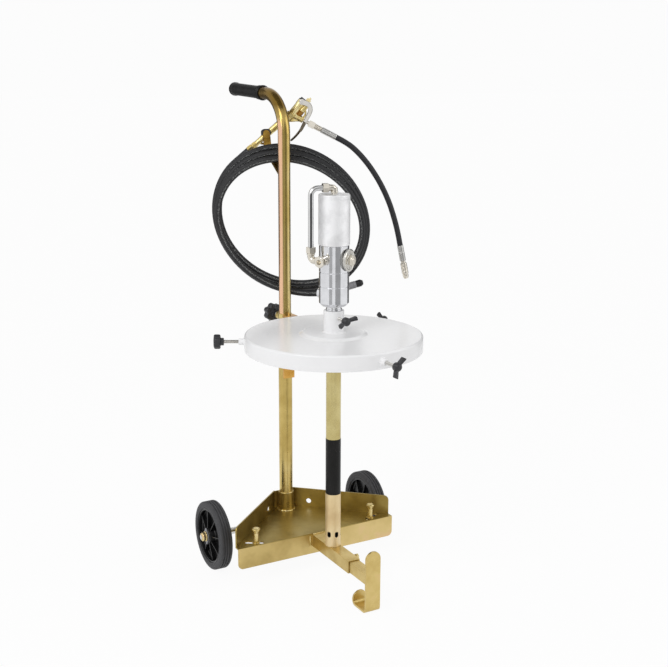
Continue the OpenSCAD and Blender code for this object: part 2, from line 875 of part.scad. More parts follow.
module foot() {
    gold()
        translate([0, foot_y, 0])
        intersection() {
            translate([-foot_w / 2, 0, 0]) rotate([90, 0, 90]) linear_extrude(foot_w) foot_profile();
            union() {
                translate([-foot_w / 2, -cut, 0]) cube([foot_w, sole_len * half + cut, foot_h - foot_w / 2]);
                translate([-foot_w / 2, 0, 0]) cube([foot_w, sole_len + cut, heel_h - foot_w / 2]);
                translate([0, -cut, foot_h - foot_w / 2]) rotate([-90, 0, 0])
                    cylinder(h = sole_len * half, d = foot_w);
                translate([0, sole_len * half, heel_h - foot_w / 2]) rotate([-90, 0, 0])
                    cylinder(h = sole_len, d = foot_w);
            }
        }
}

module arm_bolt() {
    stem = arm_w / 2 - inner_w / 2 - seat + bolt_nut_h + washer_t;
    color("silver")
        translate([inner_w / 2 + seat, bolt_y, bolt_z]) rotate([0, 90, 0]) {
            cylinder(h = stem, d = bolt_d);
            translate([0, 0, stem]) hex(bolt_af, bolt_d * 0.7);
        }
}

// Pole
module at_bend() {
    // frame at the end of the bend, +Z along the grip
    at_pole() translate([0, bend_r, bend_z]) rotate([grip_rise, 0, 0]) translate([0, 0, bend_r])
        rotate([-90, 0, 0]) children();
}

module upper_pole() {
    bore = upper_d / 2 - upper_wall;
    gold() {
        at_pole() translate([0, 0, upper_foot_z]) ring(upper_d / 2, bore, bend_z - upper_foot_z + cut);
        at_pole() translate([0, bend_r, bend_z]) rotate([0, 0, 180]) rotate([90, 0, 90])
            rotate_extrude(angle = 90 - grip_rise) translate([bend_r, 0])
            difference() {
                circle(r = upper_d / 2 - bend_thin);
                circle(r = bore + bend_thin);
            }
        at_bend() translate([0, 0, -cut]) ring(upper_d / 2, bore, grip_run - grip_flange_t + cut);
    }
}

module grip() {
    color("black")
        at_bend() translate([0, 0, grip_run - grip_len])
        difference() {
            union() {
                cylinder(h = grip_len - grip_flange_t, d = grip_d);
                cylinder(h = grip_flange_t, d = grip_flange_d);
                translate([0, 0, grip_len - 3 * grip_flange_t])
                    cylinder(h = 2 * grip_flange_t, d = grip_flange_d - grip_flange_t / 2);
                translate([0, 0, grip_len - grip_flange_t])
                    cylinder(h = grip_flange_t, d1 = grip_d, d2 = upper_d - grip_flange_t);
            }
            translate([0, 0, -cut]) cylinder(h = grip_len - grip_flange_t + cut, d = upper_d);
        }
}

module star_knob(d, t, lobes) {
    lobe_r = d / 2 * 0.24;
    linear_extrude(t)
        union() {
            circle(d = d * 0.8);
            for (k = [0:lobes - 1])
                rotate(360 * k / lobes) translate([d / 2 - lobe_r, 0]) circle(r = lobe_r, $fn = 24);
        }
}

clamp_free_y = lower_d / 2 + clamp_boss_len + clamp_screw_free;
clamp_tip_y = upper_d / 2 + stud_gap;

module at_clamp() {
    at_pole() translate([0, 0, knob_z]) rotate([-90, 0, 0]) children();
}

module clamp_stud() {
    color("silver") at_clamp() translate([0, 0, clamp_tip_y])
        cylinder(h = clamp_free_y - clamp_tip_y + star_neck, d = clamp_screw_d);
}

module clamp_knob() {
    color("black") at_clamp() translate([0, 0, clamp_free_y]) {
        difference() {
            union() {
                cylinder(h = star_neck + cut, d = star_d * half);
                translate([0, 0, star_neck]) star_knob(star_d, star_t, 8);
            }
            translate([0, 0, -cut]) cylinder(h = star_neck + cut, d = clamp_screw_d);
        }
    }
}

// Hanger: its face follows the slope on which the loops rest
hanger_line_z = coil_z + (coil_r - coil_db * 1.94) - hanger_drop;
hanger_line_y = coil_back + (coil_w0 - coil_dw * 1.94) / cos(coil_turn);
hanger_knee_z = hanger_line_z + (hanger_knee - hanger_line_y) * tan(hanger_slope);
hanger_root_z = hanger_line_z - hanger_line_y * tan(hanger_slope);

rest_d = hanger_t + seat;
gun_dir = in_plane([cos(gun_tilt), 0, sin(gun_tilt)]);
rest_run = -gun_origin[0] / gun_dir[0];
rest_r = (gun_grip_d + (gun_neck_d - gun_grip_d) * (rest_run - 2 * gun_nut_len)
          / (gun_handle_len - 3 * gun_nut_len)) / 2;
rest_side = gun_dir[0] / norm([gun_dir[0], gun_dir[2]]);
rest_gap = rest_r + rest_d / 2 + 3 * seat;
rest_z = (gun_origin + gun_dir * rest_run)[2] - rest_gap / rest_side;
rest_across = gun_dir[0] / norm([gun_dir[0], gun_dir[1]]);
rest_back = (gun_origin + gun_dir * rest_run)[1] - pole_y + rest_gap / rest_across;
rest_reach = rest_back - hanger_knee - hanger_t * 0.6;

module hanger() {
    th = hanger_t / cos(hanger_slope);
    gold(1)
        at_pole()
        difference() {
            union() {
                translate([-hanger_w / 2, 0, 0]) rotate([90, 0, 90]) linear_extrude(hanger_w)
                    polygon([[0, hanger_root_z], [hanger_knee, hanger_knee_z],
                             [hanger_knee + hanger_lean, hanger_knee_z + hanger_rise],
                             [hanger_knee + hanger_lean + hanger_t, hanger_knee_z + hanger_rise],
                             [hanger_knee + hanger_t, hanger_knee_z - th * 0.5],
                             [hanger_knee - hanger_t * 0.5, hanger_knee_z - th * 1.3],
                             [0, hanger_root_z - th]]);
                translate([0, hanger_knee + hanger_t * 0.6, rest_z]) {
                    rotate([-90, 0, 0]) cylinder(h = rest_reach, d = rest_d);
                    translate([0, rest_reach, 0]) sphere(d = rest_d);
                    translate([0, rest_reach, 0]) cylinder(h = rest_d * 1.6, d = rest_d);
                }
            }
            cylinder(h = bend_z, d = upper_d);
        }
}

// Hoses
module supply_hose() {
    color("dimgray") sweep(coil_pts, hose_d / 2, coil_sides);
}

module hose_ferrule() {
    p = coil_pts[len(coil_pts) - 1];
    color("gray")
        place_along(p, coil_out_dir)
        union() {
            cylinder(h = ferrule_len, d = ferrule_d);
            translate([0, 0, ferrule_len]) cylinder(h = hose_cap_len * 0.6, d = ferrule_d * 0.6);
            for (k = [0:3])
                translate([0, 0, ferrule_len * (0.12 + 0.2 * k)])
                    cylinder(h = ferrule_len * 0.1, d = ferrule_d * 1.06);
        }
}

module hose_cap() {
    p = coil_pts[len(coil_pts) - 1] + coil_out_dir * ferrule_len;
    color("black")
        place_along(p, coil_out_dir)
        difference() {
            union() {
                cylinder(h = hose_cap_len * 0.7, d = ferrule_d * 0.98);
                translate([0, 0, hose_cap_len * 0.7])
                    cylinder(h = hose_cap_len * 0.3, d1 = ferrule_d * 0.98, d2 = ferrule_d * 0.6);
            }
            translate([0, 0, -cut]) cylinder(h = hose_cap_len * 0.6 + cut, d = ferrule_d * 0.6);
        }
}

// Grease gun, drawn in its own plane
module gun_nut() {
    color("silver") in_gun() rotate([0, 90, 0]) hex(gun_nut_af, gun_nut_len);
}

module gun_handle() {
    color("khaki")
        in_gun()
        translate([gun_nut_len, 0, 0]) rotate([0, 90, 0])
        rotate_extrude()
        polygon([[0, 0], [gun_grip_d / 2, 0], [gun_grip_d / 2, gun_nut_len],
                 [gun_neck_d / 2, gun_handle_len - 2 * gun_nut_len],
                 [gun_neck_d / 2, gun_handle_len - gun_nut_len], [0, gun_handle_len - gun_nut_len]]);
}

module at_valve(along, across) {
    // along the tilted valve axis and across it towards the lever
    in_gun() translate([gun_handle_len, gun_body_shift, 0]) rotate([0, 0, -gun_body_tilt])
        translate([along, across, 0]) rotate([0, 90, 0]) children();
}

module gun_body() {
    web = gun_body_d * 0.5;
    boss_d = nipple_d * 1.7;
    guard_r = gun_body_len * 0.3;
    guard = [gun_handle_len + gun_body_len * 0.546, gun_body_d * 0.62];
    side_bore = gun_body_d * 0.7;
    side_at = gun_body_len * 0.62;
    color("darkkhaki")
        difference() {
            union() {
                at_valve(0, 0) cylinder(h = gun_body_len, d = gun_body_d);
                in_gun() translate([gun_handle_len - cut, 0, 0]) rotate([0, 90, 0])
                    cylinder(h = gun_body_len * 0.4, d = gun_neck_d);
                in_gun() translate([0, 0, -web / 2]) linear_extrude(web)
                    difference() {
                        translate(guard) circle(r = guard_r);
                        translate(guard) circle(r = guard_r * 0.76);
                    }
                on_outlet(0) cylinder(h = gun_outlet_len, d = boss_d);
                at_valve(side_at, side_bore) cylinder(h = gun_body_len - side_at, d = gun_body_d * 0.66);
                at_valve(side_at, side_bore) hex(gun_body_d * 0.55, gun_body_len * 0.77);
            }
            in_gun() translate([pivot[0], pivot[1], -gun_body_d])
                cylinder(h = 2 * gun_body_d, d = lever_w + 2 * run_gap);
            in_gun() translate([0, 0, -gun_body_d]) cylinder(h = 2 * gun_body_d, r = gun_handle_len - cut);
        }
}

module gun_cap() {
    color("black")
        at_valve(gun_body_len, 0) cylinder(h = gun_cap_len, d1 = gun_body_d * 0.8, d2 = gun_body_d * 0.7);
}

// Lever places measured from its pivot, as shares of the handle: round the outlet and down beside the handle
lever_shares = [[0, 0], [0.063, 0.12], [0.038, 0.213], [-0.042, 0.269], [-0.182, 0.323], [-0.337, 0.385],
                [-0.511, 0.419], [-0.655, 0.425], [-0.84, 0.42]];
lever_run = lever_shares * gun_handle_len;
lever_fork = 5;
lever_last = len(lever_run) - 1;
lever_knot = 1.2;

// Point i of the lever moved to its side, on the mitre of the two lengths that meet there
function lever_dir(i) = unit(lever_run[i + 1] - lever_run[i]);
function lever_side(i, first, last, s) =
    let (d0 = lever_dir(max(i - 1, first)))
    let (d1 = lever_dir(min(i, last - 1)))
    let (m = unit(d0 + d1))
    lever_run[i] + [-m[1], m[0]] * s * lever_w * half / (m * d1);

module lever_strip(first, last) {
    polygon(concat([for (i = [first:last]) lever_side(i, first, last, 1)],
                   [for (i = [last:-1:first]) lever_side(i, first, last, -1)]));
}

module gun_lever() {
    color("lightgray")
        in_gun()
        translate([pivot[0], pivot[1], 0]) {
            for (s = [0, 1])
                translate([0, 0, s > 0 ? lever_half - lever_prong : -lever_half])
                    linear_extrude(lever_prong)
                    difference() {
                        union() {
                            lever_strip(0, lever_fork);
                            circle(d = 2.4 * lever_w);
                        }
                        circle(d = lever_w + 2 * run_gap);
                    }
            translate([0, 0, -lever_half]) linear_extrude(lever_fork_w) {
                lever_strip(lever_fork, lever_last);
                for (i = [lever_fork, lever_last])
                    translate(lever_run[i]) circle(d = lever_w * lever_knot);
            }
        }
}

module lever_pin() {
    color("silver")
        in_gun()
        translate([pivot[0], pivot[1], -lever_half - lever_prong * half])
        cylinder(h = lever_fork_w + lever_prong, d = lever_w);
}

module on_outlet(run) {
    in_gun()
        translate([outlet_x, 0, 0]) rotate([0, 0, gun_outlet_angle]) translate([run, 0, 0])
        rotate([0, 90, 0]) children();
}

swivel_run = gun_outlet_len + nipple_len;
ferrule_run = swivel_run + swivel_len;
whip_run = ferrule_run + whip_ferrule_len;

module outlet_swivel() {
    color("silver") {
        on_outlet(gun_outlet_len) cylinder(h = nipple_len + cut, d = nipple_d);
        on_outlet(swivel_run) {
            hex(swivel_d, swivel_len * half);
            translate([0, 0, swivel_len * half]) cylinder(h = swivel_len * half, d = swivel_d * 0.8);
        }
    }
}

// The mouth of the whip ferrule and the whip's points in the plane of the gun
mouth_dir = in_plane([cos(gun_tilt - gun_outlet_angle), 0, sin(gun_tilt - gun_outlet_angle)]);
whip_start = gun_origin + in_plane([cos(gun_tilt), 0, sin(gun_tilt)]) * outlet_x + mouth_dir * whip_run;
whip_pts = [for (p = whip_route) whip_start + side * p[0] + up * p[1]];
whip_last = whip_pts[len(whip_pts) - 1];
whip_end_dir = unit(whip_last - whip_pts[len(whip_pts) - 2]);

module whip_hose() {
    color("dimgray") sweep(whip_pts, whip_d / 2, cord_sides);
}

module whip_ferrules() {
    color("silver") {
        on_outlet(ferrule_run) cylinder(h = whip_ferrule_len, d = whip_ferrule_d);
        place_along(whip_last, whip_end_dir) cylinder(h = whip_ferrule_len, d = whip_ferrule_d);
    }
}

module coupler() {
    neck = coupler_len * 0.12;
    mouth_r = coupler_d * 0.28;
    color("silver")
        place_along(whip_last + whip_end_dir * whip_ferrule_len, whip_end_dir)
        difference() {
            union() {
                cylinder(h = neck + cut, d = coupler_d * 0.7);
                translate([0, 0, neck]) cylinder(h = coupler_len * 0.6, d = coupler_d);
                translate([0, 0, neck + coupler_len * 0.6])
                    cylinder(h = coupler_len * 0.28, d1 = coupler_d, d2 = coupler_d * 0.78);
            }
            translate([0, 0, coupler_len * 0.6]) cylinder(h = coupler_len, r = mouth_r);
        }
}

// Lid
module lid() {
    r = lid_d / 2;
    dish_r = dish_d / 2;
    slope = dish_h * 1.8;
    color("white")
        at_pump()
        difference() {
            union() {
                translate([0, 0, lid_foot])
                    rotate_extrude($fn = 128)
                    difference() {
                        union() {
                            square([r - lid_edge_r, skirt_h]);
                            square([r, skirt_h - lid_edge_r]);
                            translate([r - lid_edge_r, skirt_h - lid_edge_r]) circle(r = lid_edge_r);
                            polygon([[0, skirt_h], [dish_r + slope, skirt_h],
                                     [dish_r, skirt_h + dish_h], [0, skirt_h + dish_h]]);
                        }
                        translate([0, -lid_t]) square([r - lid_t, skirt_h]);
                        polygon([[0, skirt_h - 2 * lid_t], [dish_r + slope, skirt_h - 2 * lid_t],
                                 [dish_r + slope - lid_t, skirt_h - lid_t],
                                 [dish_r - lid_t, skirt_h + dish_h - lid_t], [0, skirt_h + dish_h - lid_t]]);
                    }
                translate([0, 0, lid_z]) cylinder(h = collar_h, d = collar_d);
                for (a = lid_angles)
                    rotate([0, 0, a]) translate([r - lid_t, 0, screw_z]) rotate([0, 90, 0])
                        cylinder(h = lid_boss_len + lid_t, d = lid_boss_d);
            }
            rotate([0, 0, collar_screw_az]) translate([0, 0, lid_z + collar_screw_z]) rotate([0, 90, 0])
                cylinder(h = collar_d, d = lid_screw_d + 2 * run_gap);
            cylinder(h = cyl_top, r = tube_r + collar_gap);
            for (a = lid_angles)
                rotate([0, 0, a]) translate([r - lid_t - cut, 0, screw_z]) rotate([0, 90, 0])
                    cylinder(h = lid_boss_len + lid_t + 2 * cut, d = lid_screw_d + 2 * run_gap);
        }
}

module wing_knob() {
    // the hub and its two wings, with a blind socket for the screw
    wing_t = wing_hub_d * 0.36;
    color("black")
        difference() {
            union() {
                cylinder(h = wing_depth, d = wing_hub_d);
                for (s = [-1, 1])
                    hull() {
                        translate([s * wing_hub_d * 0.35, 0, wing_depth * 0.2])
                            cylinder(h = wing_depth * 0.7, d = wing_t, $fn = 32);
                        translate([s * (wing_span / 2 - wing_t / 2), 0, wing_depth * 0.5])
                            cylinder(h = wing_depth * 0.85, d = wing_t, $fn = 32);
                    }
            }
            translate([0, 0, -cut]) cylinder(h = wing_depth * half + cut, d = lid_screw_d);
        }
}

module lobed_knob() {
    color("black")
        difference() {
            union() {
                cylinder(h = wing_hub_d * half, d = wing_hub_d);
                translate([0, 0, wing_hub_d * half]) star_knob(star_d * 0.85, wing_depth * 0.8, 6);
            }
            translate([0, 0, -cut]) cylinder(h = wing_depth * half + cut, d = lid_screw_d);
        }
}

module at_screw(a, start, z) {
    at_pump() rotate([0, 0, a]) translate([start, 0, z]) rotate([0, 90, 0]) children();
}

module screw(a, start, knob_at, z) {
    color("silver") at_screw(a, start, z)
        cylinder(h = knob_at - start + wing_depth * half, d = lid_screw_d);
}

lid_screw_tip = lid_d / 2 - lid_t - seat;
lid_knob_at = lid_d / 2 + lid_knob_out;
collar_tip = tube_r + seat;
collar_knob_at = collar_d / 2 + collar_knob_out;

module lid_wing(k) {
    at_screw(lid_angles[k], lid_knob_at, screw_z) rotate([0, 0, wing_turns[k]]) wing_knob();
}

module left_lid_screw() { screw(lid_angles[0], lid_screw_tip, lid_knob_at, screw_z); }
module front_lid_screw() { screw(lid_angles[1], lid_screw_tip, lid_knob_at, screw_z); }
module rear_lid_screw() { screw(lid_angles[2], lid_screw_tip, lid_knob_at, screw_z); }
module left_lid_knob() { at_screw(lid_angles[0], lid_knob_at, screw_z) lobed_knob(); }
module front_lid_knob() { lid_wing(1); }
module rear_lid_knob() { lid_wing(2); }
module collar_screw() { screw(collar_screw_az, collar_tip, collar_knob_at, lid_z + collar_screw_z); }
module collar_knob() {
    at_screw(collar_screw_az, collar_knob_at, lid_z + collar_screw_z) rotate([0, 0, collar_wing_turn])
        wing_knob();
}

// Air motor
module at_port(az, rho, z) {
    at_pump() rotate([0, 0, az]) translate([rho, 0, z]) rotate([0, 90, 0]) children();
}

module motor_cylinder() {
    color("silver") at_pump() translate([0, 0, cyl_z]) ring(cyl_d / 2, bore_r, cyl_h - cap_t);
}

module cylinder_cap() {
    color("silver")
        at_pump() translate([0, 0, cyl_top - cap_t])
        rotate_extrude()
        difference() {
            union() {
                square([cyl_d / 2 - cap_round, cap_t]);
                square([cyl_d / 2, cap_t - cap_round]);
                translate([cyl_d / 2 - cap_round, cap_t - cap_round]) circle(r = cap_round);
            }
            translate([0, -cut]) square([pipe_d / 2, cap_t + 2 * cut]);
        }
}

module valve_body() {
    color("silver")
        difference() {
            at_pump() translate([0, 0, valve_z]) cylinder(h = valve_h, d = body_d);
            at_pump() translate([0, 0, valve_z - cut])
                cylinder(h = valve_h + 2 * cut, r = rod_d / 2 + run_gap);
            at_port(inlet_az, body_d / 2 - port_depth, port_z) cylinder(h = body_d, d = tee_d * 0.6);
            at_port(exhaust_az, body_d / 2 - port_depth, port_z) cylinder(h = body_d, d = silencer_stem_d);
        }
}

port_depth = 12;
silencer_stem_d = exhaust_boss_d * 0.4;
outlet_boss_d = outlet_r * 3.4;
outlet_boss_len = 9;
outlet_depth = 18;
outlet_z = body_z + lower_body_h * 0.55;
neck_step = 5;
neck_d = collar_d - 2 * neck_step;

module pump_body() {
    r = body_d / 2;
    color("silver")
        difference() {
            union() {
                at_pump() translate([0, 0, body_z]) rotate_extrude()
                    difference() {
                        polygon([[0, 0], [r - body_chamfer, 0], [r, body_chamfer],
                                 [r, valve_z - body_z], [0, valve_z - body_z]]);
                        for (z = [lower_body_h, valve_z - body_z])
                            translate([r - seam_depth, z - seam_w / 2]) square([seam_depth + cut, seam_w]);
                    }
                at_pump() translate([0, 0, collar_top + seat])
                    cylinder(h = neck_gap - seat + cut, d = neck_d);
                at_port(outlet_az, 0, outlet_z) cylinder(h = r + outlet_boss_len, d = outlet_boss_d);
            }
            at_pump() translate([0, 0, collar_top]) cylinder(h = tube_top - collar_top, r = tube_r);
            at_pump() translate([0, 0, collar_top]) cylinder(h = valve_z, r = rod_d / 2 + run_gap);
            at_pump() translate([0, 0, tube_top - cut])
                cylinder(h = rod_seal_h + cut, r = tube_bore_r);
            at_port(outlet_az, r + outlet_boss_len - outlet_depth, outlet_z)
                cylinder(h = outlet_depth + cut, r = outlet_r);
        }
}

rod_seal_h = 8;

module rod_seal() {
    color("dimgray") at_pump() translate([0, 0, tube_top])
        ring(tube_bore_r, rod_d / 2 + run_gap, rod_seal_h);
}

// Suction tube in three lengths
module suction_tube() {
    gold() at_pump() translate([0, 0, dark_top]) ring(tube_r, tube_bore_r, tube_top - dark_top);
}

module tube_coupling() {
    color("black") at_pump() translate([0, 0, dark_foot]) ring(dark_d / 2, tube_bore_r, dark_top - dark_foot);
}

module inlet_tube() {
    foot_z = arm_top + seat;
    color("burlywood")
        at_pump()
        difference() {
            translate([0, 0, foot_z]) cylinder(h = dark_foot - foot_z, d = inlet_d);
            translate([0, 0, foot_z + tube_wall]) cylinder(h = dark_foot, r = tube_bore_r);
            for (k = [0:slot_n - 1])
                rotate([0, 0, 360 / slot_n * (k + half)]) {
                    translate([0, -slot_w / 2, slot_z - (slot_h - slot_w) / 2])
                        cube([inlet_d, slot_w, slot_h - slot_w]);
                    for (s = [-1, 1])
                        translate([0, 0, slot_z + s * (slot_h - slot_w) / 2]) rotate([0, 90, 0])
                            cylinder(h = inlet_d, d = slot_w);
                }
        }
}

// Air fittings: a tee, the elbow below the pipe with its nut, and the elbow on the cap with its nut
elbow_top_z = port_z + elbow_d;
cap_elbow_run = pipe_d * 1.2;
cast_swell = 1.12;

module air_fittings() {
    nut_turn = 30;
    color("silver") {
        difference() {
            union() {
                at_port(inlet_az, body_d / 2 - port_depth, port_z)
                    cylinder(h = port_depth + cut, d = tee_d * 0.6);
                at_port(inlet_az, body_d / 2 + seat, port_z) cylinder(h = tee_len, d = tee_d);
                at_port(inlet_az, body_d / 2 + tee_len * 0.72, port_z)
                    hex(tee_d * cast_swell, tee_len * 0.45);
                at_pump() rotate([0, 0, inlet_az]) translate([tee_x, 0, port_z]) rotate([90, 0, 0])
                    cylinder(h = branch_len, d = elbow_d);
                at_pump() translate([pipe_xy[0], pipe_xy[1], port_z]) {
                    sphere(d = elbow_d * cast_swell);
                    cylinder(h = elbow_d + cut, d = elbow_d);
                }
                at_pump() translate([pipe_xy[0], pipe_xy[1], elbow_top_z]) hex(pipe_nut_af, pipe_nut_len);
            }
            at_port(inlet_az, body_d / 2 + tee_len * 0.5, port_z) cylinder(h = tee_len, r = air_port_r);
            at_pump() translate([pipe_xy[0], pipe_xy[1], elbow_top_z + pipe_nut_len * half])
                cylinder(h = pipe_nut_len, d = pipe_d);
        }
        difference() {
            at_pump() {
                translate([0, 0, cyl_top - cap_t]) cylinder(h = cap_t + pipe_up, d = pipe_d);
                translate([0, 0, pipe_top_z]) sphere(d = pipe_d * cast_swell);
                rotate([0, 0, pipe_az]) translate([0, 0, pipe_top_z]) rotate([0, 90, 0]) {
                    cylinder(h = cap_elbow_run + cut, d = pipe_d);
                    translate([0, 0, cap_elbow_run]) rotate([0, 0, nut_turn]) hex(pipe_nut_af, pipe_nut_len);
                }
            }
            at_pump() rotate([0, 0, pipe_az]) translate([cap_elbow_run + pipe_nut_len * half, 0, pipe_top_z])
                rotate([0, 90, 0]) cylinder(h = pipe_nut_len, d = pipe_d);
        }
    }
}

module transfer_pipe() {
    foot_z = elbow_top_z + pipe_nut_len * half;
    end_rho = cap_elbow_run + pipe_nut_len * half;
    color("silver")
        at_pump() rotate([0, 0, pipe_az]) {
            translate([pipe_out, 0, foot_z]) cylinder(h = pipe_top_z - pipe_bend - foot_z, d = pipe_d);
            translate([pipe_out - pipe_bend, 0, pipe_top_z - pipe_bend]) rotate([90, 0, 0])
                rotate_extrude(angle = 90) translate([pipe_bend, 0]) circle(d = pipe_d);
            translate([end_rho, 0, pipe_top_z]) rotate([0, 90, 0])
                cylinder(h = pipe_out - pipe_bend - end_rho, d = pipe_d);
        }
}

exhaust_rho = body_d / 2 + exhaust_lift;

module exhaust_cover() {
    color("silver")
        difference() {
            union() {
                at_port(exhaust_az, body_d / 2 - port_depth * half, port_z)
                    cylinder(h = exhaust_rho - body_d / 2 + port_depth * half, d = exhaust_boss_d);
                at_port(exhaust_az, exhaust_rho, port_z) cylinder(h = exhaust_t, d = exhaust_d);
            }
            at_pump() translate([0, 0, middle_z]) cylinder(h = valve_h + middle_h, d = body_d);
            at_port(exhaust_az, 0, port_z) cylinder(h = body_d, d = silencer_stem_d);
        }
}

module silencer() {
    color("silver") {
        at_port(exhaust_az, body_d / 2 - port_depth, port_z)
            cylinder(h = exhaust_rho + exhaust_t - body_d / 2 + port_depth + cut, d = silencer_stem_d);
        at_port(exhaust_az, exhaust_rho + exhaust_t, port_z) hex(silencer_af, silencer_len);
    }
}

// Inside the pump
piston_z = cyl_z + (cyl_h - cap_t) / 2;
seal_h = piston_h * 0.3;
pump_piston_z = (dark_foot + dark_top) / 2;
shovel_z = slot_z + half_stroke + slot_h;
shovel_t = 6;
shovel_gap = 1.5;

module air_piston() {
    color("silver") at_pump() translate([0, 0, piston_z - piston_h / 2])
        difference() {
            cylinder(h = piston_h, r = bore_r - seat);
            translate([0, 0, (piston_h - seal_h) / 2]) ring(bore_r, bore_r - seal_h, seal_h);
        }
}

module piston_seal() {
    color("dimgray") at_pump() translate([0, 0, piston_z - seal_h / 2])
        ring(bore_r - run_gap, bore_r - seal_h, seal_h);
}

module piston_rod() {
    color("silver") at_pump() translate([0, 0, pump_piston_z])
        cylinder(h = piston_z - piston_h / 2 - pump_piston_z, d = rod_d);
}

module pump_piston() {
    color("silver") at_pump() {
        translate([0, 0, pump_piston_z - piston_h]) cylinder(h = piston_h, r = tube_bore_r - run_gap);
        translate([0, 0, shovel_z]) cylinder(h = pump_piston_z - piston_h - shovel_z + cut, d = rod_d * 0.6);
        translate([0, 0, shovel_z]) cylinder(h = shovel_t, r = tube_bore_r - shovel_gap);
    }
}

tray();
pole_socket();
lower_pole();
drum_hook();
outer_arm();
axle();
axle_ears();
axle_nuts();
left_tyre();
left_rim();
right_tyre();
right_rim();
left_peg();
right_peg();
inner_arm();
foot();
arm_bolt();
upper_pole();
grip();
hanger();
supply_hose();
hose_ferrule();
hose_cap();
gun_nut();
gun_handle();
gun_body();
gun_cap();
gun_lever();
lever_pin();
outlet_swivel();
whip_ferrules();
whip_hose();
coupler();
clamp_stud();
clamp_knob();
lid();
left_lid_screw();
front_lid_screw();
rear_lid_screw();
left_lid_knob();
front_lid_knob();
rear_lid_knob();
collar_screw();
collar_knob();
motor_cylinder();
cylinder_cap();
valve_body();
pump_body();
suction_tube();
tube_coupling();
inlet_tube();
air_fittings();
transfer_pipe();
exhaust_cover();
silencer();
air_piston();
piston_seal();
piston_rod();
rod_seal();
pump_piston();
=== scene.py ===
import math

import bmesh
import bpy
from mathutils import Matrix, Quaternion, Vector


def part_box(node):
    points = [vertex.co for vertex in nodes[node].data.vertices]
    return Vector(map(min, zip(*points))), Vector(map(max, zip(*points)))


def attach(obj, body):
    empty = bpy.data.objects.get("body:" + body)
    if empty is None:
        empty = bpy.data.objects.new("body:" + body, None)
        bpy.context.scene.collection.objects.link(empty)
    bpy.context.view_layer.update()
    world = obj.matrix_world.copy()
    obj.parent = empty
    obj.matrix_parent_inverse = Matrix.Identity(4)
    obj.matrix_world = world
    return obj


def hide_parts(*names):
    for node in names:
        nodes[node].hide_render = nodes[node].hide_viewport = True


MM = 0.001
UP = Vector((0, 0, 1))

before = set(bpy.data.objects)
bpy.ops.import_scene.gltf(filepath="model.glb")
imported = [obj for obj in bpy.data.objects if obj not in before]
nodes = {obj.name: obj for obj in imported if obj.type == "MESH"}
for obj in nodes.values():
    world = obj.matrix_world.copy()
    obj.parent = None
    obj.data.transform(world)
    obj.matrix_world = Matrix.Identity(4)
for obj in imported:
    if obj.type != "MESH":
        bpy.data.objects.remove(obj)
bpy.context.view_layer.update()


# Places read from the frame

def middle(node):
    low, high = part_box(node)
    return (low + high) / 2


PUMP_Y = middle("motor_cylinder").y
PUMP = Vector((0, PUMP_Y, 0))
POLE_Y = middle("pole_socket").y
POLE_R = 0.0145
AXLE = middle("axle")
LID_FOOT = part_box("lid")[0].z / MM


# Objects and meshes

def linked(name, data):
    made = bpy.data.objects.new(name, data)
    bpy.context.scene.collection.objects.link(made)
    return made


def aimed(made, at, toward, forward):
    made.location = at
    made.rotation_mode = "QUATERNION"
    made.rotation_quaternion = (Vector(toward) - Vector(at)).to_track_quat(forward, "Y")
    return made


def shade(piece, angle):
    """Smooth faces, split at edges sharper than angle."""
    piece.data.shade_smooth()
    piece.data.set_sharp_from_angle(angle=math.radians(angle))


def from_bmesh(name, bm, angle):
    bmesh.ops.recalc_face_normals(bm, faces=bm.faces)
    mesh = bpy.data.meshes.new(name)
    bm.to_mesh(mesh)
    bm.free()
    piece = linked(name, mesh)
    shade(piece, angle)
    return piece


def moved(piece, matrix):
    piece.data.transform(matrix)
    piece.data.update()
    return piece


def shifted(piece, x, y, z):
    return moved(piece, Matrix.Translation((x, y, z)))


def turn_about(axis, degrees):
    return Matrix.Rotation(math.radians(degrees), 4, axis)


def frame_along(origin, axis, spin=0.0, side=None):
    """A matrix whose +Z lies along axis. side, where given, is where +X points as nearly as it can."""
    z = Vector(axis).normalized()
    if side is None:
        side = Vector((1, 0, 0)) if abs(z.x) < 0.9 else Vector((0, 1, 0))
    x = (Vector(side) - z * Vector(side).dot(z)).normalized()
    turn = Matrix((x, z.cross(x), z)).transposed().to_4x4()
    return Matrix.Translation(Vector(origin)) @ turn @ turn_about("Z", spin)


def place(piece, at, axis, spin=0.0, side=None):
    return moved(piece, frame_along(at, axis, spin, side))


def circle(radius, count):
    turns = (2 * math.pi * k / count for k in range(count))
    return [(radius * math.cos(a), radius * math.sin(a)) for a in turns]


def skin(bm, rows, closed=False):
    """Faces between rows of vertices. A row of one vertex is a point on the axis."""
    for a, b in zip(rows, rows[1:] + (rows[:1] if closed else [])):
        count = max(len(a), len(b))
        for k in range(count):
            j = (k + 1) % count
            face = list(dict.fromkeys((a[k % len(a)], a[j % len(a)], b[j % len(b)], b[k % len(b)])))
            if len(face) > 2:
                bm.faces.new(face)


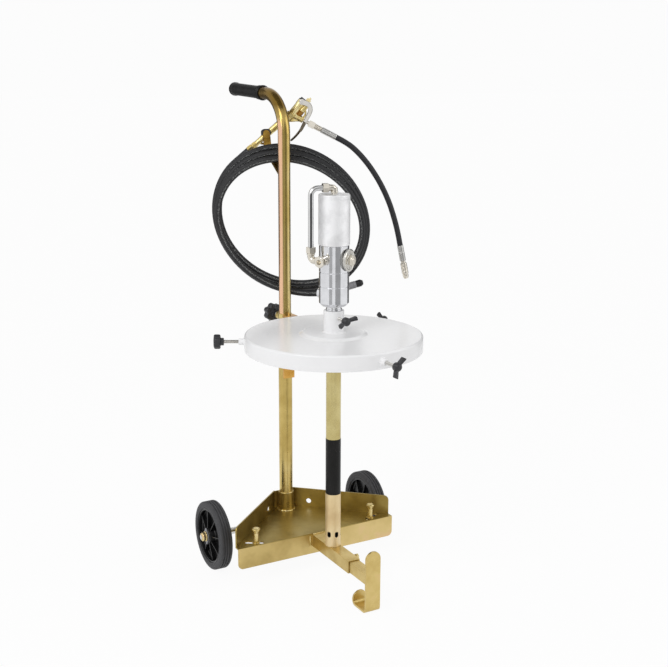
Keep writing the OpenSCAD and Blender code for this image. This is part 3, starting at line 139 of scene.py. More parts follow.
def fillet(points):
    """Outline points (x, y, corner radius) in millimetres, with arcs at the corners. Metres come out."""
    points = [[v * MM for v in p] for p in points]
    out = []
    for i, p in enumerate(points):
        here = Vector((p[0], p[1]))
        radius = p[2] if len(p) > 2 else 0
        if radius <= 0:
            out.append(here)
            continue
        a = Vector(points[i - 1][:2]) - here
        b = Vector(points[(i + 1) % len(points)][:2]) - here
        da, db = a.normalized(), b.normalized()
        angle = da.angle(db)
        cut = min(radius / math.tan(angle / 2), a.length * 0.499, b.length * 0.499)
        radius = cut * math.tan(angle / 2)
        centre = here + (da + db).normalized() * (radius / math.sin(angle / 2))
        first, last = here + da * cut - centre, here + db * cut - centre
        turn = first.angle_signed(last)
        steps = max(2, int(abs(math.degrees(turn)) / 15))
        out += [centre + Matrix.Rotation(-turn * k / steps, 2) @ first for k in range(steps + 1)]
    return out


def revolve(name, profile, steps=48, angle=35):
    """Turns an outline of (radius, height, corner radius) in millimetres about +Z."""
    bm = bmesh.new()
    rows = [[bm.verts.new((x, y, p[1])) for x, y in (circle(p[0], steps) if p[0] > 1e-7 else [(0, 0)])]
            for p in fillet(profile)]
    skin(bm, rows, closed=True)
    return from_bmesh(name, bm, angle)


def lathe(profile, at, axis, steps=48, name="part"):
    return place(revolve(name, profile, steps), at, axis)


def prism(name, outline, depth, round_edge):
    """An outline of (x, y, corner radius) pulled from z = 0 to depth, with rounded edges, in millimetres."""
    bm = bmesh.new()
    rows = [[bm.verts.new((p[0], p[1], z)) for p in fillet(outline)] for z in (0, depth * MM)]
    for row in rows:
        bm.faces.new(row)
    skin(bm, rows)
    bmesh.ops.recalc_face_normals(bm, faces=bm.faces)
    rims = [e for e in bm.edges if abs(e.verts[0].co.z - e.verts[1].co.z) < 1e-9]
    bmesh.ops.bevel(bm, geom=rims, offset=round_edge * MM, segments=3, profile=0.5, affect="EDGES")
    return from_bmesh(name, bm, 35)


def hex_nut(name, across, height, bore=0.0):
    """A hexagon across flats, its corners cut back by a cone at both ends, in millimetres."""
    steps = 48
    flat = across / 2
    inner = flat * 0.97
    bm = bmesh.new()
    rows = []
    for full, top in ((0, 0), (1, 0), (1, 1), (0, 1)):
        row = []
        for k in range(steps):
            a = 2 * math.pi * k / steps
            r = flat / math.cos((a + math.pi / 6) % (math.pi / 3) - math.pi / 6) if full else inner
            drop = (r - inner) * 0.58
            z = height - drop if top else drop
            row.append(bm.verts.new(Vector((r * math.cos(a), r * math.sin(a), z)) * MM))
        rows.append(row)
    if bore:
        rows += [[bm.verts.new((x, y, z * MM)) for x, y in circle(bore * MM, steps)] for z in (height, 0)]
    else:
        bm.faces.new(rows[0])
        bm.faces.new(rows[-1])
    skin(bm, rows, closed=bool(bore))
    return from_bmesh(name, bm, 25)


def loft(name, rings, angle=40):
    """Closed skin over rings of points in millimetres, all with the same count."""
    bm = bmesh.new()
    rows = [[bm.verts.new(Vector(p) * MM) for p in ring] for ring in rings]
    skin(bm, rows)
    bm.faces.new(rows[0])
    bm.faces.new(rows[-1])
    return from_bmesh(name, bm, angle)


def joined(name, *pieces):
    """One piece made of several."""
    bm = bmesh.new()
    for piece in pieces:
        mesh = piece.data
        bm.from_mesh(mesh)
        bpy.data.objects.remove(piece)
        bpy.data.meshes.remove(mesh)
    mesh = bpy.data.meshes.new(name)
    bm.to_mesh(mesh)
    bm.free()
    return linked(name, mesh)


def melted(name, voxel, rounds, *pieces):
    """Several closed pieces run together like a casting: voxels of the given size, then smoothed."""
    made = joined(name, *pieces)
    remesh = made.modifiers.new("remesh", "REMESH")
    remesh.mode = "VOXEL"
    remesh.voxel_size = voxel * MM
    soften = made.modifiers.new("soften", "SMOOTH")
    soften.iterations = rounds
    soften.factor = 0.5
    old = made.data
    done = bpy.data.meshes.new_from_object(made.evaluated_get(bpy.context.evaluated_depsgraph_get()))
    made.modifiers.clear()
    made.data = done
    bpy.data.meshes.remove(old)
    done.name = name
    shade(made, 60)
    return made


def smooth_path(points, step):
    """Points about step apart on a smooth curve through the given points."""
    pts = [Vector(p) for p in points]
    ends = [pts[0] * 2 - pts[1]] + pts + [pts[-1] * 2 - pts[-2]]
    out = []
    for i in range(1, len(ends) - 2):
        p0, p1, p2, p3 = ends[i - 1:i + 3]
        n = max(1, round((p2 - p1).length / step))
        for t in (k / n for k in range(n)):
            out.append(0.5 * ((2 * p1) + (p2 - p0) * t + (2 * p0 - 5 * p1 + 4 * p2 - p3) * t * t
                              + (3 * p1 - p0 - 3 * p2 + p3) * t ** 3))
    return out + [ends[-2]]


def length_of(points):
    return sum((b - a).length for a, b in zip(points, points[1:]))


def stations(path):
    """Each point of a path with its direction and the length run so far."""
    run = 0.0
    for i, p in enumerate(path):
        run += (p - path[i - 1]).length if i else 0
        yield p, (path[min(i + 1, len(path) - 1)] - path[max(i - 1, 0)]).normalized(), run


def tube(name, path, radius, sides=32, uv=True):
    """A tube along path. radius is one number, or a function of the share of the length."""
    size = radius if callable(radius) else (lambda share: radius)
    total = length_of(path)
    bm = bmesh.new()
    layer = bm.loops.layers.uv.new("along") if uv else None
    rings, runs = [], []
    ahead = (path[1] - path[0]).normalized()
    side = ahead.cross(UP if abs(ahead.z) < 0.9 else Vector((0, 1, 0))).normalized()
    for p, direction, run in stations(path):
        side = (side - direction * side.dot(direction)).normalized()
        other = direction.cross(side)
        rings.append([bm.verts.new(p + side * x + other * y) for x, y in circle(size(run / total), sides)])
        runs.append(run)
    for a, b, start, end in zip(rings, rings[1:], runs, runs[1:]):
        for k in range(sides):
            j = (k + 1) % sides
            face = bm.faces.new((a[k], a[j], b[j], b[k]))
            if layer:
                for loop, (u, v) in zip(face.loops, ((start, k), (start, k + 1), (end, k + 1), (end, k))):
                    loop[layer].uv = (u, v / sides)
    bm.faces.new(rings[0])
    bm.faces.new(rings[-1])
    return from_bmesh(name, bm, 50)


def squarish(a, b, power):
    """Points round a rounded rectangle of half sides a and b."""
    out = []
    count = 24
    for k in range(count):
        t = 2 * math.pi * (k + 0.5) / count
        c, s = math.cos(t), math.sin(t)
        out.append((math.copysign(abs(c) ** power, c) * a, math.copysign(abs(s) ** power, s) * b))
    return out


def strip(path, halves, power):
    """A bar along a path (x, y). Its half sides, in the plane and across, follow the share of its length."""
    pts = smooth_path([(x, y, 0) for x, y in path], 2.5)
    total = length_of(pts)
    rings = []
    for p, ahead, run in stations(pts):
        a, b = halves(run / total)
        across = Vector((-ahead.y, ahead.x, 0))
        rings.append([p + across * u + UP * v for u, v in squarish(a, b, power)])
    return loft("strip", rings)


def along_points(value, table):
    """A value read between the rows (share, number, ...) of a table."""
    for low, high in zip(table, table[1:]):
        if value <= high[0]:
            t = (value - low[0]) / (high[0] - low[0])
            return [x + (y - x) * t for x, y in zip(low[1:], high[1:])]
    return list(table[-1][1:])


def screw_rod(name, radius, length, pitch):
    """A threaded rod from z = 0, with a chamfered tip, in millimetres."""
    start, inner = 0.6, radius - pitch * 0.5
    count = max(1, round((length - start) / pitch))
    step = (length - start) / count
    outline = [(0, 0), (radius * 0.8, 0)]
    for z in (start + step * k for k in range(count)):
        outline += [(inner, z + step * 0.1), (radius, z + step * 0.45), (radius, z + step * 0.6)]
    return revolve(name, outline + [(inner, length), (0, length)], 32, 30)


def bead(path, radius, lumps):
    """A weld bead with ripples."""
    fine = smooth_path(path, min(0.0012, length_of(path) / 40))
    return tube("bead", fine, lambda s: radius * (1 + 0.16 * math.sin(2 * math.pi * s * lumps)), 12)


def ring_path(centre, radius, start=0, end=360):
    steps = 48
    turns = (math.radians(start + (end - start) * k / steps) for k in range(steps + 1))
    return [centre + compass(a) * radius for a in turns]


def compass(a):
    return Vector((math.cos(a), math.sin(a), 0))


def weighted(piece):
    """Flat faces stay flat beside their rounded edges."""
    modifier = piece.modifiers.new("normals", "WEIGHTED_NORMAL")
    modifier.keep_sharp = True
    modifier.weight = 90


def dress(piece, body, finish, *stands_for, slot=None):
    """Gives a finished piece its material and its body, and hides the CAD nodes that it stands for."""
    if finish:
        piece.data.materials.clear()
        piece.data.materials.append(FINISH[finish])
    weighted(piece)
    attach(piece, body)
    if stands_for:
        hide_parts(*stands_for)
    return piece


# Camera: the photograph's angle and distance

CAMERA_AT = Vector((-1.2203, PUMP_Y - 2.172, 1.2051))
LOOK_AT = Vector((0.00013, PUMP_Y - 0.00081, 0.6016))
LENS = 61.68
ROLL = 0.25


def make_camera():
    data = bpy.data.cameras.new("camera")
    data.sensor_width = 36
    data.lens = LENS
    data.clip_start, data.clip_end = 0.05, 50
    camera = aimed(linked("camera", data), CAMERA_AT, LOOK_AT, "-Z")
    camera.rotation_quaternion = camera.rotation_quaternion @ Quaternion((0, 0, 1), math.radians(ROLL))
    bpy.context.scene.camera = camera


make_camera()


# Hoses: the same routes as the solids, in metres

COIL_TURN = math.radians(28)
COIL_BACK = 0.044
COIL_U, COIL_Z = 0.0366, 0.821
COIL_R = 0.1855
COIL_LESS_WIDE, COIL_LESS_HIGH, COIL_SHIFT = 0.0062, 0.0132, 0.016
COIL_W0, COIL_LEAN = 0.0376, 0.026
COIL_STEP = 4
COIL_START, COIL_END = 131, 295 + 3 * 360
LEAD_IN, LEAD_OUT = 60, 210
LEAD_IN_R, LEAD_OUT_R, LEAD_IN_W = -0.008, 0.044, 0.0216
LEAD_RUN = 0.042
TIP = 0.7494
HOSE_D = 0.0155
WHIP_D = 0.0135
SIDE = Vector((math.cos(COIL_TURN), -math.sin(COIL_TURN), 0))
DEPTH = Vector((math.sin(COIL_TURN), math.cos(COIL_TURN), 0))


def coil_point(a):
    n = (a - COIL_START) / 360
    into = max(0, 1 - (a - COIL_START) / LEAD_IN)
    out = max(0, 1 - (COIL_END - a) / LEAD_OUT)
    flare = LEAD_IN_R * into ** 2 + LEAD_OUT_R * out ** 2
    rad = math.radians(a)
    wide = COIL_R - COIL_LESS_WIDE * n + flare
    high = COIL_R - COIL_LESS_HIGH * n + flare
    u = COIL_U + wide * math.cos(rad) - COIL_LEAN * math.sin(rad)
    z = COIL_Z + high * math.sin(rad)
    w = COIL_W0 - COIL_SHIFT * n + LEAD_IN_W * into * into * (3 - 2 * into)
    return Vector((0, POLE_Y + COIL_BACK, 0)) + SIDE * u + DEPTH * w + UP * z


def in_plane(v):
    return (SIDE * v.dot(SIDE) + UP * v.z).normalized()


def coil_path():
    steps = round((COIL_END - COIL_START) / COIL_STEP)
    pts = [coil_point(COIL_START + (COIL_END - COIL_START) * i / steps) for i in range(steps + 1)]
    lead = [pts[0] + GUN_DIR * LEAD_RUN * s for s in (1, 0.75, 0.5, 0.25)]
    tail = [pts[-1] + TAIL_DIR * HOSE_D * s for s in (0.5, 1)]
    return lead + pts + tail


GUN_DIR = in_plane(coil_point(COIL_START) - coil_point(COIL_START + TIP))
TAIL_DIR = in_plane(coil_point(COIL_END) - coil_point(COIL_END - TIP))
hose_path = coil_path()
GUN_AT = hose_path[0]
TAIL_AT = hose_path[-1]
GUN_TILT = math.degrees(math.atan2(GUN_DIR.z, GUN_DIR.dot(SIDE)))

OUTLET_X = 0.134788
OUTLET_ANGLE = 67.5
OUTLET_LEN, NIPPLE_LEN, SWIVEL_LEN, FERRULE_LEN = 0.034, 0.015, 0.034, 0.040
mouth_turn = math.radians(GUN_TILT - OUTLET_ANGLE)
MOUTH_DIR = SIDE * math.cos(mouth_turn) + UP * math.sin(mouth_turn)
OUTLET_ROOT = GUN_AT + GUN_DIR * OUTLET_X
WHIP_AT = OUTLET_ROOT + MOUTH_DIR * (OUTLET_LEN + NIPPLE_LEN + SWIVEL_LEN + FERRULE_LEN)
WHIP_ROUTE = ((0, 0), (12, -6), (26, -14), (40, -24), (54, -37), (67, -51), (80, -67), (92, -84),
              (104, -103), (115, -123), (125, -144), (134, -166), (142, -190), (149, -214),
              (155, -239), (160, -264))
whip_points = [WHIP_AT + SIDE * (u * MM) + UP * (z * MM) for u, z in WHIP_ROUTE]
whip_path = smooth_path(whip_points, 0.006)
WHIP_END = whip_path[-1]
WHIP_DIR = (whip_points[-1] - whip_points[-2]).normalized()


# Materials

FINISH = {}


def started(name):
    made = bpy.data.materials.new(name)
    made.use_nodes = True
    FINISH[name] = made
    return made.node_tree, made.node_tree.nodes["Principled BSDF"]


def wire(tree, made, sockets):
    """Each named socket takes its value, or a link where another node's output is given."""
    for key, value in sockets.items():
        if isinstance(value, bpy.types.NodeSocket):
            tree.links.new(value, made.inputs[key])
        else:
            made.inputs[key].default_value = value


def add(tree, kind, output, sockets, **settings):
    made = tree.nodes.new("ShaderNode" + kind)
    for key, value in settings.items():
        setattr(made, key, value)
    wire(tree, made, sockets)
    return made.outputs[output]


def maths(tree, operation, a, b=0.5):
    return add(tree, "Math", "Value", {0: a, 1: b}, operation=operation)


def object_coordinates(tree):
    return tree.nodes.new("ShaderNodeTexCoord").outputs["Object"]


def noise(tree, where, scale, detail=3.0, roughness=0.5, stretch=None):
    if stretch:
        where = add(tree, "Mapping", "Vector", {"Vector": where, "Scale": stretch})
    return add(tree, "TexNoise", "Fac",
               {"Vector": where, "Scale": scale, "Detail": detail, "Roughness": roughness})


def ramp(tree, value, stops):
    made = tree.nodes.new("ShaderNodeValToRGB")
    elements = made.color_ramp.elements
    while len(elements) < len(stops):
        elements.new(0.5)
    for element, (at, colour) in zip(elements, stops):
        element.position = at
        element.color = (*colour, 1)
    tree.links.new(value, made.inputs["Fac"])
    return made.outputs["Color"]


def spread(tree, value, low, high, start=0.0, end=1.0):
    return add(tree, "MapRange", "Result", {"Value": value, "From Min": start, "From Max": end,
                                            "To Min": low, "To Max": high})


def bump(tree, height, strength, distance):
    return add(tree, "Bump", "Normal", {"Height": height, "Strength": strength, "Distance": distance})


def srgb(colour):
    """Linear values of a colour that is given as it shows on a screen, from 0 to 255."""
    shares = (v / 255 for v in colour)
    return tuple(v / 12.92 if v <= 0.04045 else ((v + 0.055) / 1.055) ** 2.4 for v in shares)


def facing(tree, where, azimuth, centre, radius):
    """1 on the line of a pole that looks towards this azimuth, 0 at right angles to it."""
    off = add(tree, "VectorMath", "Vector", {0: where, 1: centre}, operation="SUBTRACT")
    aim = compass(math.radians(azimuth)) / radius
    return add(tree, "VectorMath", "Value", {0: off, 1: aim}, operation="DOT_PRODUCT")


def blended(tree, share, a, b):
    """Colour a where share is 0, colour b where it is 1."""
    return add(tree, "Mix", "Result", {"Factor": share, "A": a, "B": (*srgb(b), 1)}, data_type="RGBA")


def zinc(name, palette, roughness, scale, metal=0.9, painted_reflections=(), top=None, grit=0.06):
    """Yellow chromated zinc: a metal that drifts from olive to gold and pink, with painted reflections as
    bands down the sides of poles.

    top is (height, height, colour): a painted reflection, the colour that the pole takes on between these
    heights.
    """
    tree, shader = started(name)
    where = object_coordinates(tree)
    clouds = noise(tree, where, scale, 4.0, 0.6)
    colour = ramp(tree, clouds, [(at, srgb(c)) for at, c in zip((0.30, 0.46, 0.60, 0.74), palette)])
    # Painted reflections: each band colours the side of the pole that looks towards its azimuth, as pink
    # sheen or a dark reflection.
    for azimuth, edge, reflection_colour in painted_reflections:
        reach, full = 1.6, 0.85
        line = spread(tree, facing(tree, where, azimuth, (0, POLE_Y, 0), POLE_R), 0, 1, 0, reach)
        stops = ((edge / reach, 0), (edge / reach + 0.07, full), (0.73, full), (0.8, 0))
        colour = blended(tree, ramp(tree, line, [(at, (v, v, v)) for at, v in stops]), colour, reflection_colour)
    # Painted reflection: the pole takes on the top colour between the two heights.
    if top:
        height = add(tree, "SeparateXYZ", "Z", {"Vector": where})
        colour = blended(tree, spread(tree, height, 0, 1, top[0], top[1]), colour, top[2])
    smears = noise(tree, where, scale * 5, 5.0, 0.65)
    wire(tree, shader, {"Base Color": colour, "Metallic": metal,
                        "Roughness": spread(tree, smears, roughness - 0.07, roughness + 0.1, 0.3, 0.7),
                        "Normal": bump(tree, noise(tree, where, 900, 2.0), grit, 0.0004)})


def plain_metal(name, colour, roughness, grain_scale=700.0, grain=0.01, stretch=None):
    tree, shader = started(name)
    where = object_coordinates(tree)
    colour = srgb(colour)
    clouds = noise(tree, where, 25, 4.0, 0.6)
    smears = noise(tree, where, 120, 4.0, 0.6, stretch)
    lines = noise(tree, where, grain_scale, 3.0, 0.5, stretch)
    wire(tree, shader, {
        "Metallic": 1.0,
        "Base Color": ramp(tree, clouds, [(0.35, tuple(c * 0.86 for c in colour)), (0.6, colour)]),
        "Roughness": spread(tree, smears, roughness * 0.75, roughness * 1.3, 0.3, 0.7),
        "Normal": bump(tree, lines, grain, 0.0003)})


def moulded(name, colour, roughness, grain_scale=1400.0, grain=0.06, specular=0.5):
    """Moulded plastic or rubber: a fine grain, with slow changes of gloss."""
    tree, shader = started(name)
    where = object_coordinates(tree)
    colour = srgb(colour)
    clouds = noise(tree, where, 40)
    pale = tuple(min(1.0, c * 1.25 + 0.004) for c in colour)
    wire(tree, shader, {
        "Base Color": ramp(tree, clouds, [(0.35, colour), (0.7, pale)]),
        "Roughness": spread(tree, clouds, roughness - 0.06, roughness + 0.08),
        "Specular IOR Level": specular,
        "Normal": bump(tree, noise(tree, where, grain_scale, 2.0), grain, 0.0003)})


def enamel(name, colour, roughness):
    """Glossy stove enamel with a faint orange peel."""
    tree, shader = started(name)
    where = object_coordinates(tree)
    colour = srgb(colour)
    smears = noise(tree, where, 60, 4.0)
    shades = [(0.3, tuple(c * 0.975 for c in colour)), (0.7, colour)]
    wire(tree, shader, {
        "Base Color": ramp(tree, noise(tree, where, 6), shades),
        "Roughness": spread(tree, smears, roughness - 0.03, roughness + 0.05),
        "Coat Weight": 0.12, "Coat Roughness": 0.1, "Specular IOR Level": 0.4,
        "Normal": bump(tree, noise(tree, where, 220, 2.0), 0.02, 0.0006)})


def hose_cover(name, base, line, line_width, dash, least):
    """Black hose cover with wrap marks and a broken pale line. UV: metres along, share round."""
    tree, shader = started(name)
    uv = add(tree, "UVMap", "UV", {}, uv_map="along")
    along = add(tree, "SeparateXYZ", "X", {"Vector": uv})
    round_ = add(tree, "SeparateXYZ", "Y", {"Vector": uv})
    off = maths(tree, "ABSOLUTE", maths(tree, "SUBTRACT", round_, 0.5))
    band = maths(tree, "LESS_THAN", off, line_width)
    drawn = add(tree, "CombineXYZ", "Vector", {"X": along, "Y": maths(tree, "MULTIPLY", round_, 0.6)})
    broken = maths(tree, "GREATER_THAN", noise(tree, drawn, dash, 4.0, 0.75), least)
    where = object_coordinates(tree)
    clouds = noise(tree, where, 60)
    base = srgb(base)
    cover = ramp(tree, clouds, [(0.35, base), (0.7, tuple(c * 1.35 for c in base))])
    wire(tree, shader, {
        "Base Color": blended(tree, maths(tree, "MULTIPLY", band, broken), cover, line),
        "Roughness": spread(tree, clouds, 0.42, 0.58), "Specular IOR Level": 0.35,
        "Normal": bump(tree, noise(tree, where, 900), 0.3, 0.0004)})


zinc("sheet_gold", ((176, 152, 92), (204, 180, 118), (216, 192, 132), (226, 190, 150)), 0.36, 7.0)
# Painted shade: a darker copy of sheet_gold for the tray's inside and its rear flange.
zinc("sheet_painted_shade", ((138, 118, 60), (162, 142, 80), (176, 156, 92), (164, 138, 78)), 0.36, 9.0)
# tube_gold: painted pink sheen at azimuths 198 and 20 and a painted dark olive reflection at 250, fixed round
# the pole.
zinc("tube_gold", ((176, 150, 80), (206, 182, 116), (222, 202, 144), (230, 194, 150)), 0.2, 5.0,
     painted_reflections=((198, 0.80, (240, 192, 160)), (250, 0.86, (150, 130, 66)), (20, 0.8, (232, 186, 150))),
     # top: a painted dark reflection over the bend of the handle.
     top=(1.055, 1.095, (126, 100, 42)))
zinc("post_gold", ((176, 150, 80), (206, 182, 112), (222, 202, 140), (214, 180, 118)), 0.3, 5.0, grit=0.02)
zinc("arm_gold", ((170, 144, 78), (200, 174, 106), (214, 190, 124), (222, 188, 138)), 0.32, 12.0)
zinc("hook_gold", ((150, 106, 40), (196, 146, 66), (214, 166, 86), (220, 150, 98)), 0.24, 30.0)
zinc("hanger_gold", ((96, 70, 22), (132, 102, 40), (158, 126, 58), (150, 104, 58)), 0.24, 30.0)
zinc("gun_gold", ((176, 150, 76), (214, 192, 124), (236, 222, 168), (228, 188, 136)), 0.2, 40.0)
zinc("bolt_gold", ((176, 152, 88), (210, 188, 124), (228, 210, 156), (220, 188, 140)), 0.26, 60.0)
zinc("brown_gold", ((104, 68, 20), (140, 96, 36), (170, 124, 56), (180, 130, 70)), 0.25, 60.0)
zinc("suction_gold", ((150, 128, 76), (186, 170, 112), (204, 190, 134), (196, 172, 118)), 0.2, 8.0)
zinc("foot_beige", ((214, 186, 138), (228, 204, 156), (234, 212, 168), (232, 202, 160)), 0.45, 14.0, 0.55)
zinc("socket_gold", ((140, 118, 56), (170, 146, 80), (190, 166, 98), (196, 160, 100)), 0.3, 12.0)
plain_metal("bright_steel", (212, 210, 206), 0.22)
plain_metal("nickel", (226, 220, 208), 0.14)
plain_metal("chrome", (226, 227, 230), 0.09, 500.0, 0.015, (1, 1, 12))
plain_metal("satin_alu", (246, 246, 247), 0.62, 900.0, 0.03, (1, 1, 14))
plain_metal("lever_nickel", (214, 211, 204), 0.13)
# Painted shade: a dark copy of lever_nickel for the lever's sides and inner faces.
plain_metal("lever_painted_shade", (104, 96, 82), 0.1)
plain_metal("cast_nickel", (206, 204, 198), 0.12, 300.0, 0.04)
plain_metal("pipe_chrome", (222, 222, 222), 0.1, 500.0, 0.015, (1, 1, 12))
plain_metal("sleeve_steel", (196, 195, 192), 0.2)
# Painted shade: near-black for the inside of the slotted inlet tube.
moulded("bore_painted_shade", (24, 20, 16), 0.5, 300.0, 0.1)
moulded("black_paint", (16, 15, 14), 0.34, 500.0, 0.03, 0.2)
moulded("black_knob", (44, 44, 47), 0.34, specular=0.4)
moulded("grip_rubber", (8, 8, 9), 0.28, 900.0, 0.08, 0.26)
moulded("tyre_rubber", (64, 64, 66), 0.58, 700.0, 0.3, 0.3)
moulded("rim_black", (10, 10, 11), 0.3, specular=0.45)
# Painted highlight: the hub plates are the rim's black moulding, made grey for the light on their flat faces.
moulded("hub_painted_highlight", (126, 126, 130), 0.36)
moulded("ferrule_grey", (128, 128, 131), 0.36, 300.0, 0.3)
moulded("cap_black", (22, 22, 24), 0.33, specular=0.35)
enamel("white_enamel", (247, 247, 248), 0.24)
hose_cover("supply_cover", (34, 34, 36), (158, 160, 159), 0.036, 150.0, 0.545)
hose_cover("whip_cover", (36, 36, 39), (48, 48, 51), 0.03, 160.0, 0.56)

CAD_FINISH = {
    "sheet_gold": "tray axle_ears",
    "socket_gold": "pole_socket",
    "post_gold": "lower_pole",
    "tube_gold": "upper_pole",
    "hook_gold": "drum_hook",
    "hanger_gold": "hanger",
    "arm_gold": "outer_arm inner_arm foot",
    "bolt_gold": "axle_nuts left_peg right_peg arm_bolt",
    "bright_steel": "axle clamp_stud left_lid_screw front_lid_screw rear_lid_screw collar_screw lever_pin "
                    "whip_ferrules coupler air_piston piston_rod pump_piston gun_lever",
    "tyre_rubber": "left_tyre right_tyre",
    "rim_black": "left_rim right_rim",
    "grip_rubber": "grip",
    "ferrule_grey": "hose_ferrule",
    "cap_black": "hose_cap gun_cap",
    "gun_gold": "gun_nut gun_handle gun_body",
    "nickel": "outlet_swivel air_fittings transfer_pipe exhaust_cover silencer",
    "black_knob": "clamp_knob left_lid_knob front_lid_knob rear_lid_knob collar_knob piston_seal rod_seal",
    "white_enamel": "lid",
    "satin_alu": "motor_cylinder cylinder_cap",
    "chrome": "valve_body pump_body",
    "suction_gold": "suction_tube",
    "black_paint": "tube_coupling",
    "foot_beige": "inlet_tube",
}


def dress_cad(piece, finish):
    piece.data.materials.clear()
    piece.data.materials.append(FINISH[finish])
    piece.modifiers.new("weld", "WELD").merge_threshold = 1e-6
    edges = piece.modifiers.new("bevel", "BEVEL")
    edges.width = 0.0005
    edges.segments = 2
    edges.limit_method = "ANGLE"
    edges.angle_limit = math.radians(40)
    edges.harden_normals = True
    shade(piece, 40)
    weighted(piece)


def second_finish(name, finish, chosen):
    """Faces of a CAD node whose centre passes the test take another finish."""
    mesh = nodes[name].data
    mesh.materials.append(FINISH[finish])
    for face in mesh.polygons:
        if chosen(face.center):
            face.material_index = 1


for finish, names in CAD_FINISH.items():
    for name in names.split():
        dress_cad(nodes[name], finish)
for face in nodes["tray"].data.polygons:
    face.use_smooth = False

TRAY_UNDERSIDE = 0.0945
SLOTS_FROM = 0.099
INLET_SKIN = 0.0174
INLET_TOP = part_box("inlet_tube")[1].z - 0.001
# Faces above the underside take the painted shade: the tray's inside is darkened.
second_finish("tray", "sheet_painted_shade", lambda at: at.z > TRAY_UNDERSIDE)
# The inlet tube's inner faces between the slots take the painted shade.
second_finish("inlet_tube", "bore_painted_shade", lambda at: math.hypot(at.x, at.y - PUMP_Y) < INLET_SKIN
              and SLOTS_FROM < at.z < INLET_TOP)


# Wheels

WHEEL_X = middle("right_tyre").x
TYRE_R = (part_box("right_tyre")[1].z - AXLE.z) / MM
AXLE_NUT_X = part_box("axle_nuts")[1].x - 0.0125
TREAD_GAP, TREAD_DEEP = 6.4, 2.2


def mirrored(half):
    """An outline of (radius, height, corner radius) and its image below z = 0."""
    return half, [(p[0], -p[1], *p[2:]) for p in reversed(half)]


def tyre(label, at, out):
    r = TYRE_R
    upper, lower = mirrored([(r - 17.6, 12.6, 0.8), (r - 17.2, 15.2, 1.0), (r - 14.6, 16.0, 1.2),
                             (r - 13.2, 15.0, 0.8), (r - 8.5, 16.0, 5), (r, 13.6, 6)])
    tread = []
    for h in (TREAD_GAP, 0, -TREAD_GAP):
        tread += [(r, h + 1.6, 0.4), (r - TREAD_DEEP, h + 1.1, 0.3), (r - TREAD_DEEP, h - 1.1, 0.3),
                  (r, h - 1.6, 0.4)]
    piece = lathe(upper + tread + lower, at, out, 128, "tyre_" + label[0])
    dress(piece, label + "_wheel", "tyre_rubber", label + "_tyre", slot="tyre")


def rim(label, at, out):
    body = label + "_wheel"
    upper, lower = mirrored([(65.6, 13.0), (61.6, 13.0, 0.8), (60.2, 2.6, 2.5), (21, 2.6, 3),
                             (18.4, 17.6, 1.5), (8.1, 17.8)])
    pieces = [revolve("dish", upper + lower, 96)]
    for k in range(8):
        rib = prism("rib", [(17, -14), (61.4, -9.5), (61.4, 9.5), (17, 14)], 2.2, 0.5)
        upright = Matrix.Translation((0, 0.0011, 0)) @ turn_about("X", 90)
        pieces.append(moved(rib, turn_about("Z", 45 * k + 12) @ upright))
    wheel = place(joined("rim_" + label[0], *pieces), at, out)
    dress(wheel, body, "rim_black", label + "_rim", slot="rim")
    for end, where in ((1, "_outer_plate"), (-1, "_inner_plate")):
        plate = prism(body + where, [(23, 0, 4), (0, 15.5, 9), (-23, 0, 4), (0, -15.5, 9)], 2.3, 0.5)
        # The hub plates take the grey painted highlight.
        dress(place(plate, at + out * end * 0.0176, out * end, 8, UP), body, "hub_painted_highlight")


SIDES = ((-1, "left"), (1, "right"))

for side, label in SIDES:
    wheel_at = Vector((side * WHEEL_X, AXLE.y, AXLE.z))
    tyre(label, wheel_at, Vector((side, 0, 0)))
    rim(label, wheel_at, Vector((side, 0, 0)))
for side, label in SIDES:
    cap = lathe([(0, 0), (12, 0, 0.4), (12, 2.2, 0.6), (10.4, 2.6, 0.6), (10.4, 9.4, 2.4), (6.4, 12.2, 3),
                 (0, 12.5)], (side * AXLE_NUT_X, AXLE.y, AXLE.z), (side, 0, 0), 64, "axle_cap_" + label[0])
    dress(cap, "trolley", "bolt_gold", "axle_nuts", slot="nut_gold")


# Tray: pegs, weld beads, rear flange; cap of the hanger

FLOOR = 0.096
TRAY_FRONT, TRAY_BACK = (corner.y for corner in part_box("tray"))
LOWER_POLE_R = 0.0165


def peg(label):
    at = middle(label + "_peg")
    at.z = FLOOR
    shank = lathe([(0, 0.3), (6.3, 0.3), (6.3, 23.5, 1), (9.2, 31, 1), (10, 32.4, 0.6), (10, 34.6, 1.4),
                   (6.5, 36.2, 2), (0, 36.4)], at, UP)
    washer = lathe([(0, 0.2), (9.5, 0.2), (9.5, 1.4, 0.5), (0, 1.4)], at, UP)
    rod = place(screw_rod("rod", 4.9, 16, 1.5), at - UP * 0.0155, UP)
    nut = place(hex_nut("nut", 16.6, 6.3), at - UP * 0.0096, UP, 15)
    piece = joined("stop_" + label[0], shank, washer, rod, nut)
    dress(piece, label + "_stop", "bolt_gold", label + "_peg", slot="zinc_gold")


